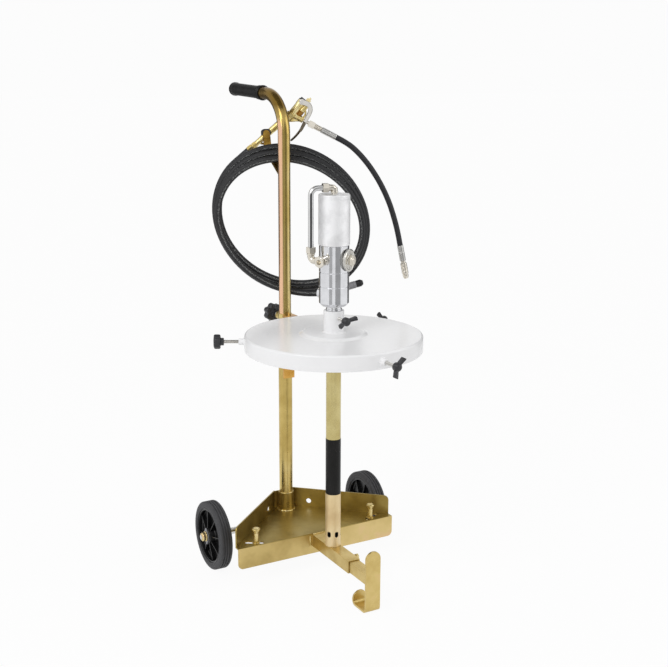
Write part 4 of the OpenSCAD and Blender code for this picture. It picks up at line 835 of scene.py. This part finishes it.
def welds():
    pole = Vector((0, POLE_Y, FLOOR))
    beads = [bead(ring_path(pole + UP * 0.0012, 0.0202), 0.0027, 14),
             bead(ring_path(pole + UP * 0.0475, 0.0174, 200, 340), 0.0012, 14)]
    front = TRAY_FRONT - 0.0006
    arm_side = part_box("outer_arm")[1].x
    for x in (-arm_side, arm_side):
        beads.append(bead([Vector((x, front, z)) for z in (0.066, 0.078, 0.091)], 0.002, 6))
    beads.append(bead([Vector((x, front, 0.0935)) for x in (-0.014, 0, 0.014)], 0.002, 7))
    hook_low, hook_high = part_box("drum_hook")
    for s in (-1, 1):
        x = s * (hook_high.x - 0.0025)
        y = POLE_Y - math.sqrt(LOWER_POLE_R ** 2 - x ** 2) - 0.0008
        beads.append(bead([Vector((x * 1.04, y, hook_low.z + z)) for z in (0.012, 0.05)], 0.0016, 12))
    dress(joined("weld_beads", *beads), "trolley", "bolt_gold")


def rear_flange():
    plate = prism("rear_flange", [(-27.5, 0), (27.5, 0), (27.5, 47.5, 3), (-27.5, 47.5, 3)], 3, 0.5)
    moved(plate, Matrix.Translation((0, TRAY_BACK, FLOOR - 0.001)) @ turn_about("X", 90))
    # The rear flange takes the painted shade of the tray's inside.
    dress(plate, "trolley", "sheet_painted_shade")


def hanger_cap():
    """A black cap that wraps the hanger's tip, with the bare strip's face before it."""
    lean = math.degrees(math.atan2(10, 44))
    at = Vector((0, POLE_Y + 0.0996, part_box("hanger")[1].z - 0.0100))
    local = Matrix.Translation(at) @ turn_about("X", 90 - lean)
    cap = prism("hanger_cap", [(-11.6, -1, 1), (11.6, -1, 1), (11.6, 13, 11), (-11.6, 13, 11)], 9.6, 1.5)
    dress(moved(cap, local), "handle", "cap_black")
    face = prism("hanger_face", [(-9.2, -9, 1), (9.2, -9, 1), (9.2, 10.4, 8.6), (-9.2, 10.4, 8.6)], 1.4, 0.4)
    shifted(face, -0.0012, -0.0006, 0.0089)
    dress(moved(face, local), "handle", "hanger_gold")


peg("left")
peg("right")
welds()
rear_flange()
hanger_cap()


# Knobs and clamp screws

def screw_frame(azimuth, start, height, turn=0.0):
    """Where a knob sits: its local +Z points outwards at this azimuth from the pump axis."""
    return (Matrix.Translation(PUMP) @ turn_about("Z", azimuth)
            @ Matrix.Translation((start * MM, 0, height * MM)) @ turn_about("Y", 90) @ turn_about("Z", turn))


def round_knob(name, radius, height, neck_r, neck_h, lobes, depth):
    """A knob with lobes: rings of (radius, height, share of the lobes' depth)."""
    top = neck_h + height
    table = ((neck_r - 1, 0, 0), (neck_r, 0.6, 0), (neck_r, neck_h - 1.2, 0),
             (neck_r + 1.2, neck_h - 0.2, 0.2), (radius * 0.86, neck_h + 0.1, 0.9),
             (radius * 0.95, neck_h + 1.0, 1), (radius, neck_h + 3.0, 1), (radius, top - 3.6, 1),
             (radius * 0.965, top - 1.6, 1), (radius * 0.88, top - 0.3, 1), (radius * 0.72, top, 0.9),
             (radius * 0.5, top - 0.9, 0.3), (radius * 0.46, top - 1.6, 0.1), (radius * 0.25, top - 1.7, 0),
             (0.4, top - 1.7, 0))
    count = 144
    dents = [depth * (0.5 - 0.5 * math.cos(2 * math.pi * lobes * k / count)) ** 1.6 for k in range(count)]
    rings = [[(x * (1 - share * dent), y * (1 - share * dent), z)
              for (x, y), dent in zip(circle(r, count), dents)] for r, z, share in table]
    return loft(name, rings, 50)


def wing_knob(name):
    hub = revolve("hub", [(0, 0), (7.6, 0, 0.4), (9.5, 1.4, 0.8), (9.5, 10.5, 3.5), (6.0, 14.6, 3),
                          (0, 15.6)])
    sections = ((3.0, 1.6, 12.6, 3.4), (8.5, 2.4, 14.2, 3.4), (13.0, 4.6, 16.6, 3.7), (18.0, 7.6, 18.8, 4.3),
                (21.2, 9.4, 20.0, 4.7), (22.6, 10.4, 20.0, 4.5), (23.1, 11.4, 19.0, 3.6))
    wings = [loft("wing", [[(s * x, v, (low + high) / 2 + u)
                            for u, v in squarish((high - low) / 2, thick, 0.4)]
                           for x, low, high, thick in sections]) for s in (-1, 1)]
    return joined(name, hub, *wings)


SCREW_Z = LID_FOOT + 17
COLLAR_SCREW_Z = LID_FOOT + 73.5
# Label, azimuth, tip and knob from the pump axis, height, and how far the knob is turned
SCREWS = (("left", 152, 197.4, 246, SCREW_Z, 0), ("front", 272, 197.4, 246, SCREW_Z, 153),
          ("rear", 32, 197.4, 246, SCREW_Z, 120), ("collar", 270, 17.1, 49, COLLAR_SCREW_Z, 111))

for label, azimuth, tip, knob_at, height, turn in SCREWS:
    prefix = label if label == "collar" else label + "_lid"
    rod = moved(screw_rod(prefix + "_rod", 4, knob_at - tip + 7, 1.25), screw_frame(azimuth, tip, height))
    dress(rod, prefix + "_clamp", "bright_steel", prefix + "_screw", slot="screw_steel")
    if label == "left":
        knob = round_knob("left_lobe_knob", 16.6, 15, 8.6, 7.5, 6, 0.15)
    else:
        knob = wing_knob(label + "_wing_knob")
    moved(knob, screw_frame(azimuth, knob_at, height, turn))
    dress(knob, prefix + "_clamp", "black_knob", prefix + "_knob", slot="knob_black")

BACKWARDS = (0, 1, 0)
stud_low, stud_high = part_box("clamp_stud")
knob_z = middle("clamp_knob").z
stud = place(screw_rod("pole_stud", 5, (stud_high.y - stud_low.y) / MM, 1.5),
             (0, stud_low.y, knob_z), BACKWARDS)
dress(stud, "pole_clamp", "bright_steel", "clamp_stud", slot="screw_steel")
star = place(round_knob("pole_star_knob", 23.6, 20, 11, 10, 7, 0.17),
             (0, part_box("clamp_knob")[0].y, knob_z), BACKWARDS)
dress(star, "pole_clamp", "black_knob", "clamp_knob", slot="knob_black")


# Drum lid

def drum_lid():
    shell = revolve("shell", [(200, 0, 0.9), (200, 35.5, 5), (77, 35.5, 12), (69, 40, 9), (23, 40, 5),
                              (23, 89.5, 1.2), (17.1, 89.5, 0.8), (17.1, 37.5), (66.8, 37.5, 12),
                              (75.5, 33, 16), (197.5, 33, 3.2), (197.5, 0, 0.9)], 256, 40)
    pieces = [place(shell, PUMP + UP * LID_FOOT * MM, UP)]
    for _, azimuth, _, _, height, _ in SCREWS[:3]:
        boss = revolve("boss", [(4.1, 0), (9.6, 0), (9.4, 3.0, 1.2), (7.2, 5.0, 1.6), (7, 15.5, 0.9),
                                (4.1, 15.5, 0.5)])
        pieces.append(moved(boss, screw_frame(azimuth, 197.5, height)))
    dress(joined("drum_lid", *pieces), "drum_lid", "white_enamel", "lid", slot="lid_white")


drum_lid()


# Handle grip

GRIP_TILT = math.radians(1.8)
GRIP_DIR = Vector((0, math.cos(GRIP_TILT), math.sin(GRIP_TILT)))
BEND_R, BEND_FROM, BEND_TO_GRIP = 0.09, 1.0285, 0.020355
BEND_AT = Vector((0, POLE_Y + BEND_R * (1 - math.sin(GRIP_TILT)), BEND_FROM + BEND_R * math.cos(GRIP_TILT)))
grip_piece = revolve("handle_grip", [
    (14.6, 0), (16.6, 0, 0.8), (18.2, 2.0, 1.4), (18.0, 6.2, 1.4), (15.9, 7.6, 0.8), (15.9, 9.4, 0.8),
    (17.4, 10.6, 1.2), (17.2, 20.5, 1.6), (15.4, 22.5, 1.5), (15.2, 60), (15.2, 150, 4), (16.8, 156, 3),
    (16.8, 164.5, 5), (11.5, 170.6, 4), (0, 171), (0, 167), (14.6, 167)], 96, 50)
dress(place(grip_piece, BEND_AT + GRIP_DIR * BEND_TO_GRIP, GRIP_DIR), "handle", "grip_rubber", "grip",
      slot="grip_black")


# Pump: air fittings, transfer pipe, exhaust, bodies

PORT_Z = middle("exhaust_cover").z
PIPE_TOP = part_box("cylinder_cap")[1].z + 0.014
INLET = math.radians(206)
EXHAUST = math.radians(302)
OUTLET = math.radians(120)
BODY_R = 0.0335
TEE_OUT, BRANCH_LEN, BRANCH_UP = 0.0445, 0.031, 0.016
INLET_OUT = compass(INLET)
BRANCH = compass(INLET - math.pi / 2)
pipe_foot = INLET_OUT * TEE_OUT + BRANCH * BRANCH_LEN
PIPE_DIR = pipe_foot.normalized()
PIPE_OUT = pipe_foot.length


def port(out, rho, z):
    return PUMP + out * rho + UP * z


def elbow(at, radius, come, leave):
    """Points round a quarter bend before a corner: in along come, out along leave."""
    turns = [math.radians(v) for v in (22, 45, 68, 90)]
    return [at - come * radius * (1 - math.sin(t)) + leave * radius * (1 - math.cos(t)) for t in turns]


def ring(radius, height):
    return [(0, 0), (radius, 0, 1), (radius, height, 1), (0, height)]


def air_fittings():
    root = port(INLET_OUT, BODY_R, PORT_Z)
    tee_at = port(INLET_OUT, TEE_OUT, PORT_Z)
    foot = tee_at + BRANCH * BRANCH_LEN
    top = foot + UP * BRANCH_UP
    bend = 0.009
    route = [tee_at + BRANCH * 0.004, tee_at + BRANCH * 0.013, foot - BRANCH * bend]
    route += elbow(foot, bend, BRANCH, UP) + [top - UP * 0.002, top]
    top_at = PUMP + UP * PIPE_TOP
    bend = 0.0065
    upper = [top_at - UP * 0.010, top_at - UP * bend] + elbow(top_at, bend, UP, PIPE_DIR)
    upper += [top_at + PIPE_DIR * 0.0145]
    stem = [(0, 0), (6, 0), (6, 12), (8.4, 12.4, 1), (8.4, 16, 1), (7.2, 17), (7.2, 24), (0, 24)]
    pieces = [lathe([(0, -12), (6, -12), (6, 1), (0, 1)], root, INLET_OUT, 32),
              lathe([(0, 0.2), (9.2, 0.2, 1), (10, 4, 3), (10, 13, 2), (0, 13)], root, INLET_OUT),
              place(hex_nut("tee_nut", 22.4, 10, 5.8), port(INLET_OUT, 0.0485, PORT_Z), INLET_OUT, 10),
              tube("elbow", route, 0.0076, uv=False),
              lathe(ring(9.2, 5), tee_at + BRANCH * 0.0095, BRANCH),
              lathe(ring(8.9, 4), top - UP * 0.0045, UP),
              place(hex_nut("pipe_nut", 19, 13, 6.05), top, UP, 20),
              lathe(stem, top_at - UP * 0.024, UP),
              tube("cap_elbow", upper, 0.0071, uv=False),
              lathe(ring(8.3, 3.4), top_at + PIPE_DIR * 0.011, PIPE_DIR),
              place(hex_nut("cap_nut", 19, 13, 6.05), top_at + PIPE_DIR * 0.0144, PIPE_DIR, 30)]
    dress(joined("inlet_fittings", *pieces), "pump", "nickel", "air_fittings", slot="fitting_nickel")


def dark_line(finish, centre, radius, azimuth, edge):
    """The dark reflection along an upright pipe."""
    tree = FINISH[finish].node_tree
    shader = tree.nodes["Principled BSDF"]
    under = shader.inputs["Base Color"].links[0].from_socket
    side = facing(tree, object_coordinates(tree), azimuth, centre, radius)
    share = spread(tree, side, 0, 0.95, edge - 0.03, edge + 0.01)
    wire(tree, shader, {"Base Color": blended(tree, share, under, (40, 40, 42))})


def transfer_pipe():
    low = PORT_Z + 0.0225
    bend, pipe_r = 0.016, 0.006
    corner = PUMP + PIPE_DIR * (PIPE_OUT - bend) + UP * (PIPE_TOP - bend)
    route = [port(PIPE_DIR, PIPE_OUT, z) for z in (low, low + 0.03, PIPE_TOP - bend - 0.03)]
    route += [corner + PIPE_DIR * bend * math.cos(t) + UP * bend * math.sin(t)
              for t in (math.radians(9 * k) for k in range(11))]
    route.append(port(PIPE_DIR, 0.0209, PIPE_TOP))
    dark_line("pipe_chrome", port(PIPE_DIR, PIPE_OUT, 0), pipe_r, 246, 0.955)
    dress(tube("bent_pipe", route, pipe_r, 48, uv=False), "pump", "pipe_chrome", "transfer_pipe",
          slot="fitting_nickel")


def exhaust():
    out = compass(EXHAUST)
    root = port(out, BODY_R, PORT_Z)
    pieces = [lathe([(0, -5), (15, -5), (15, 1.2, 0.6), (24.2, 1.2, 0.8), (25, 2.4, 0.8), (25, 5.8, 1.0),
                     (21.5, 7.0, 1.2), (20.4, 6.2, 0.6), (13.5, 6.2, 0.6), (12.8, 7.2, 0.6), (0, 7.2)],
                    root, out, 96)]
    for k in range(10):
        vent = prism("vent", [(-1.1, -2.6, 1), (1.1, -2.6, 1), (1.1, 2.6, 1), (-1.1, 2.6, 1)], 0.9, 0.25)
        spot = turn_about("Z", 36 * k) @ Matrix.Translation((0, 0.0172, 0.0060))
        pieces.append(moved(vent, frame_along(root, out) @ spot))
    dress(joined("exhaust_plate", *pieces), "pump", "cast_nickel", "exhaust_cover", slot="fitting_nickel")
    nut = place(hex_nut("nut", 22, 8), root + out * 0.007, out, 8)
    core = lathe([(0, 0), (7, 0), (7, 1.2, 0.5), (5.5, 1.8, 0.6), (0, 1.8)], root + out * 0.0145, out)
    stem = lathe([(0, 0), (6, 0), (6, 20), (0, 20)], root - out * 0.012, out, 32)
    dress(joined("silencer_plug", nut, core, stem), "pump", "nickel", "silencer", slot="fitting_nickel")


def groove(radius, at):
    """A line turned into a cylinder, with broken edges."""
    return [(radius, at - 1.0, 0.3), (radius - 1.2, at - 0.7, 0.2), (radius - 1.2, at + 0.7, 0.2),
            (radius, at + 1.0, 0.3)]


def bodies():
    r = BODY_R / MM
    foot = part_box("pump_body")[0].z / MM
    seam, top = (corner.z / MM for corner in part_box("valve_body"))
    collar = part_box("lid")[1].z / MM
    lower = [(8, collar + 0.1), (18, collar + 0.1, 0.6), (18, collar + 3.4, 0.5), (17, collar + 4, 0.4),
             (17, collar + 9.4, 1.2), (26.5, collar + 10.5, 1.5), (r, collar + 17.5, 2.2)]
    lower += groove(r, foot + 55) + groove(r, seam)[:2] + [(r - 1.2, seam), (8, seam)]
    out = compass(OUTLET)
    boss_at = port(out, 0, (foot + 34.975) * MM)
    boss = lathe([(6.6, 0), (11.2, 0), (11.2, 39, 0.8), (6.6, 39, 0.6)], boss_at, out)
    lower_body = joined("pump_lower_body", lathe(lower, PUMP, UP, 160), boss)
    dress(lower_body, "pump", "chrome", "pump_body", slot="valve_chrome")
    upper = [(7.05, seam), (r - 1.2, seam)] + groove(r, seam)[2:]
    upper += [(r, top - 1.4, 0.3), (r - 0.8, top - 1.1, 0.2), (r - 0.8, top - 0.2, 0.2), (7.05, top - 0.2)]
    upper = lathe(upper, PUMP, UP, 160, "valve_block")
    dress(upper, "pump", "chrome", "valve_body", slot="valve_chrome")


air_fittings()
transfer_pipe()
exhaust()
bodies()


# Grease gun, in the plane of its own axis: x runs along the handle, y towards the lever, in millimetres

GUN_ACROSS = SIDE * math.sin(math.radians(GUN_TILT)) - UP * math.cos(math.radians(GUN_TILT))
GUN_FRAME = Matrix.Translation(GUN_AT) @ Matrix((GUN_DIR, GUN_ACROSS, DEPTH)).transposed().to_4x4()
VALVE_TILT = 9.5
PIVOT = (174.22, -4.0)
PRONG_OFF, PRONG_T = 0.01425, 3.5


def in_gun(piece, x, y, angle=0.0, spin=0.0):
    """Puts a piece made along +Z at (x, y), pointing along the handle, turned by angle towards the lever."""
    local = frame_along((x * MM, y * MM, 0), compass(math.radians(angle)), spin, UP)
    return moved(piece, GUN_FRAME @ local)


def at_valve(piece, along, across=0, spin=0.0):
    """Puts a piece on the tilted valve barrel, or beside it."""
    tilt = math.radians(VALVE_TILT)
    return in_gun(piece, 124 + along * math.cos(tilt) + across * math.sin(tilt),
                  4.6 - along * math.sin(tilt) + across * math.cos(tilt), -VALVE_TILT, spin)


def gun_handle():
    nut = in_gun(hex_nut("swivel_nut", 15, 14), 0, 0, 0, 12)
    dress(nut, "handle", "gun_gold", "gun_nut", slot="gun_gold")
    foot = in_gun(hex_nut("foot_hex", 14.6, 9), 15.2, 0, 0, 20)
    cone = in_gun(revolve("cone", [
        (0, 9), (6.2, 9), (6.2, 10.6, 0.4), (7.0, 11.4, 0.6), (7.0, 13.4, 0.6), (6.5, 14.2, 0.6),
        (6.9, 28, 2), (7.3, 29, 1), (8.3, 92, 2), (8.6, 96, 2), (8.6, 110), (0, 110)], 64), 14, 0)
    collar = in_gun(revolve("collar", [(0, 0), (6.2, 0), (6.2, 1.3), (0, 1.3)], 32), 14, 0)
    dress(joined("gun_grip", foot, cone, collar), "handle", "gun_gold", "gun_handle", slot="gun_gold")


def gun_body():
    guard = revolve("guard", [(16.2, -5), (16.2, 5), (11.6, 5), (11.6, -5)], 64)
    moved(guard, GUN_FRAME @ Matrix.Translation((0.1535, 0.0124, 0)))
    barrel = at_valve(revolve("barrel", [(0, -3), (9, -3, 1), (9.6, 3, 2), (9.6, 53), (0, 53)], 64), 0)
    neck = in_gun(revolve("neck", [(0, 0), (8.6, 0), (9.6, 12, 6), (7, 26, 5), (0, 30)]), 120, 0.4, 3)
    boss = in_gun(revolve("boss", [(0, 0), (8.5, 0), (7.6, 14, 6), (7.4, 34, 0.6), (0, 34)]),
                  OUTLET_X / MM, 0, OUTLET_ANGLE)
    arch = moved(strip([(118, 3), (127, 12), (137, 20), (146, 29)], lambda s: (5.6 - 1.4 * s, 5.2), 0.45),
                 GUN_FRAME)
    cast = melted("gun_casting", 0.8, 6, guard, barrel, neck, boss, arch)
    dress(cast, "handle", "gun_gold", "gun_body", slot="gun_gold")
    collar = at_valve(hex_nut("barrel_hex", 21.5, 9), 5, spin=10)
    band = at_valve(revolve("band", [(0, 0), (10.4, 0, 0.5), (10.4, 12.5, 0.8), (0, 12.5)], 64), 40)
    dress(joined("barrel_collars", collar, band), "handle", "gun_gold")
    cap = revolve("gun_end_cap", [(0, -1.4), (10.2, -1.4, 0.4), (10.2, 0.8, 0.6), (8.6, 1.6, 0.6),
                                  (8.2, 5.6, 1.2), (0, 6)], 64)
    dress(at_valve(cap, 54), "handle", "cap_black", "gun_cap")
    plug = revolve("plug", [(0, 0), (6.6, 0), (6.6, 19, 1), (0, 19.6)])
    dress(at_valve(plug, 33, 14), "handle", "gun_gold")
    dress(at_valve(hex_nut("side_hex", 12.5, 14), 20, 14, 15), "handle", "brown_gold")


def gun_lever():
    route = [(174.2, -4.0), (181.9, 10.9), (178.8, 22.4), (168.9, 29.3), (151.5, 36.0), (132.3, 43.8),
             (110.7, 48.0), (92.9, 48.7)]
    pieces = []
    for off in (-PRONG_OFF, PRONG_OFF):
        prong = strip(route[:6] + [(126, 45.2)], lambda t: (6.2 - 2.8 * t, PRONG_T / 2), 0.35)
        eye = prism("eye", [(PIVOT[0] + x, PIVOT[1] + y) for x, y in circle(7, 40)], PRONG_T, 0.6)
        pieces += [shifted(prong, 0, 0, off), shifted(eye, 0, 0, off - PRONG_T / 2 * MM)]
    widths = ((0, 3.4, 15.9), (0.25, 3.2, 14), (0.6, 3.0, 9.5), (0.96, 2.7, 7), (1, 1.6, 5))
    pieces.append(strip([(134.5, 42.9)] + route[5:], lambda t: along_points(t, widths), 0.4))
    lever = joined("trigger_lever", *pieces)
    lever.data.materials.append(FINISH["lever_nickel"])
    lever.data.materials.append(FINISH["lever_painted_shade"])
    # Faces at the lever's free end that don't face outwards take the painted shade.
    for face in lever.data.polygons:
        if face.center.x < 0.148 and face.normal.y < 0.6:
            face.material_index = 1
    dress(moved(lever, GUN_FRAME), "gun_trigger", None, "gun_lever", slot="lever_silver")
    pin = [revolve("pin", [(0, -17.5), (2.5, -17.5), (2.5, 17.5), (0, 17.5)], 32)]
    pin += [shifted(hex_nut("head", 8, 3.4), 0, 0, z) for z in (0.0162, -0.0196)]
    bolt = shifted(joined("pivot_bolt", *pin), PIVOT[0] * MM, PIVOT[1] * MM, 0)
    dress(moved(bolt, GUN_FRAME), "handle", "bright_steel", "lever_pin", slot="screw_steel")
    stop = joined("stop_screw", hex_nut("stop_hex", 9.5, 7.5),
                  revolve("stop_tip", [(0, -6), (2.6, -6), (2.6, 12, 0.6), (0, 12)], 32))
    dress(in_gun(stop, 184.0, 4.6, -4), "handle", "gun_gold")


gun_handle()
gun_body()
gun_lever()


# Fittings at the ends of the hoses

def crimp(start, end, radius, rings):
    """Outline points of a crimped sleeve."""
    out = []
    step = (end - start) / rings
    for z in (start + step * k for k in range(rings)):
        out += [(radius, z + step * 0.12, 0.4), (radius, z + step * 0.62, 0.4),
                (radius * 0.93, z + step * 0.72, 0.3), (radius * 0.93, z + step * 0.98, 0.3)]
    return out


def outlet_joint():
    nipple = in_gun(revolve("nipple", [(0, 33), (4.5, 33), (4.5, 40, 0.4), (5.6, 40.6, 0.5), (5.6, 43, 0.5),
                                       (4.5, 43.6, 0.4), (4.5, 50), (0, 50)]), OUTLET_X / MM, 0, OUTLET_ANGLE)
    at = OUTLET_ROOT + MOUTH_DIR * (OUTLET_LEN + NIPPLE_LEN)
    turn = place(hex_nut("swivel_hex", 14, 16), at, MOUTH_DIR, 20)
    knurl = []
    for z in (17, 19.5, 22, 24.5, 27, 29.5):
        knurl += [(6.2, z, 0.2), (6.9, z + 0.6, 0.3), (6.9, z + 1.6, 0.3), (6.2, z + 2.2, 0.2)]
    sleeve = lathe([(0, 15), (6.4, 15, 0.5)] + knurl + [(5.8, 34, 0.6), (0, 34)], at, MOUTH_DIR)
    piece = joined("outlet_joint", nipple, turn, sleeve)
    dress(piece, "handle", "nickel", "outlet_swivel", slot="ferrule_steel")


def whip_ferrule(name, at, axis):
    smooth = [(0, 0), (6.0, 0, 0.6), (7.4, 1.5, 0.8), (7.5, 22, 0.6), (7.0, 23.4, 0.5), (7.4, 25, 0.5),
              (7.4, 38.5, 1.2), (6.9, 40, 0.6), (0, 40)]
    return dress(lathe(smooth, at, axis, name=name), "handle", "sleeve_steel", "whip_ferrules",
                 slot="ferrule_steel")


outlet_joint()
WHIP_TIP = WHIP_END + WHIP_DIR * FERRULE_LEN
whip_ferrule("whip_ferrule_gun", WHIP_AT - MOUTH_DIR * FERRULE_LEN, MOUTH_DIR)
whip_last = whip_ferrule("whip_ferrule_end", WHIP_TIP, -WHIP_DIR)
coupler_piece = lathe([(0, 0), (5.8, 0, 0.4), (5.8, 4.4, 0.6), (8.0, 5.6, 0.8)] + crimp(6.5, 24, 8.25, 5)
                      + [(8.2, 25, 0.5), (8.2, 31, 0.5), (7.2, 33, 0.8), (7.2, 38, 1), (6.2, 42, 1.2),
                         (5.4, 44, 0.6), (4.6, 44, 0.4), (4.2, 27), (0, 27)], WHIP_TIP, WHIP_DIR, 64,
                      "grease_coupler")
dress(coupler_piece, "handle", "nickel", "coupler", slot="ferrule_steel")
tail_ferrule = lathe([(0, 0), (7.9, 0, 0.6), (8.4, 1.2, 0.4)] + crimp(1.6, 29.5, 9.0, 7)
                     + [(8.4, 30.2, 0.4), (8.0, 32, 0.6), (0, 32)], TAIL_AT, TAIL_DIR, 64, "tail_ferrule")
dress(tail_ferrule, "handle", "ferrule_grey", "hose_ferrule", slot="ferrule_grey")
tail_cap = lathe([(0, -0.4), (7.9, -0.4, 0.6), (8.7, 0.6, 0.6), (8.6, 10.5, 4), (5.2, 16.6, 4), (0, 17)],
                 TAIL_AT + TAIL_DIR * 0.032, TAIL_DIR, 64, "tail_cap")
dress(tail_cap, "handle", "cap_black", "hose_cap", slot="rim")


# Supply hose and whip hose

supply = tube("supply_tube", hose_path, HOSE_D / 2)
dress(supply, "handle", "supply_cover", "supply_hose", slot="hose_rubber")

whip = tube("whip_tube", whip_path, WHIP_D / 2)
dress(whip, "handle", "whip_cover", "whip_hose", slot="hose_rubber")


# Floor, light and world

WORLD_LEVEL = 0.65
FLOOR_GLOW = 0.94
BACKDROP_LEVEL = 0.9736
FLAG_FAR, FLAG_HIGH, FLAG_MID = 2.4, 2.6, 1.1
# Name, edges in degrees from the camera's azimuth, grey level
FLAGS = (("flag_left", -37, -13, 0.52), ("flag_right", 10, 51, 0.40),
         ("flag_back_left", -168, -126, 0.16), ("flag_back_right", 124, 168, 0.14))


def seen_directly(tree, most):
    """A share that is most for rays from the camera, mirrors and glass, and 0 for light."""
    path = tree.nodes.new("ShaderNodeLightPath").outputs
    seen = maths(tree, "MAXIMUM", path["Is Camera Ray"], path["Is Glossy Ray"])
    return maths(tree, "MULTIPLY", maths(tree, "MAXIMUM", seen, path["Is Transmission Ray"]), most)


def glow(tree, level):
    return add(tree, "Emission", "Emission", {"Color": (level, level, level, 1)})


def stage_plane(name, size, at, finish, aim=None):
    mesh = bpy.data.meshes.new(name)
    w, h = size[0] / 2, size[1] / 2
    mesh.from_pydata([(-w, -h, 0), (w, -h, 0), (w, h, 0), (-w, h, 0)], [], [(0, 1, 2, 3)])
    mesh.materials.append(FINISH[finish])
    plane = linked(name, mesh)
    if aim is not None:
        aimed(plane, at, aim, "Z")
    return plane


def make_floor():
    tree, shader = started("floor_white")
    clouds = noise(tree, object_coordinates(tree), 3)
    colour = ramp(tree, clouds, [(at, (level, level, level)) for at, level in ((0.3, 0.86), (0.7, 0.88))])
    wire(tree, shader, {"Base Color": colour, "Roughness": 0.7, "Specular IOR Level": 0.2})
    surface = add(tree, "MixShader", "Shader", {"Fac": seen_directly(tree, FLOOR_GLOW),
                                                1: shader.outputs["BSDF"], 2: glow(tree, 1)})
    wire(tree, tree.nodes["Material Output"], {"Surface": surface})
    stage_plane("floor", (60, 60), (0, 0, 0), "floor_white")


def hidden_flag(name, size, at, aim, level):
    """A grey card that only mirrors see."""
    tree = started(name)[0]
    wire(tree, tree.nodes["Material Output"], {"Surface": glow(tree, level)})
    flag = stage_plane(name, size, at, name, aim)
    flag.visible_camera = False
    flag.visible_diffuse = False
    flag.visible_shadow = False
    flag.visible_transmission = False


def make_flags():
    toward = CAMERA_AT - LOOK_AT
    azimuth = math.atan2(toward.y, toward.x)
    centre = PUMP + UP * FLAG_MID
    for name, low, high, level in FLAGS:
        at = centre + compass(azimuth + math.radians((low + high) / 2)) * FLAG_FAR
        width = 2 * FLAG_FAR * math.tan(math.radians((high - low) / 2))
        hidden_flag(name, (width, FLAG_HIGH), at, centre, level)
    above = PUMP + Vector((0, 0.3, 0))
    hidden_flag("flag_top", (2.6, 2.2), above + UP * 3, above, 0.2)


def make_world():
    world = bpy.data.worlds.new("studio")
    bpy.context.scene.world = world
    world.use_nodes = True
    tree = world.node_tree
    strength = spread(tree, seen_directly(tree, 1.0), WORLD_LEVEL, BACKDROP_LEVEL)
    wire(tree, tree.nodes["Background"], {"Color": (1, 1, 1, 1), "Strength": strength})


def area_light(name, at, power):
    data = bpy.data.lights.new(name, "AREA")
    data.shape = "RECTANGLE"
    data.size, data.size_y = 1.6, 2.0
    data.energy = power
    aimed(linked(name, data), at, (0, 0, 0.6), "-Z")


make_floor()
make_flags()
make_world()
area_light("key", (-2.4, -1.2, 2.6), 34)
area_light("fill", (2.2, -1.8, 1.8), 12)
bpy.context.scene.view_settings.view_transform = "Standard"
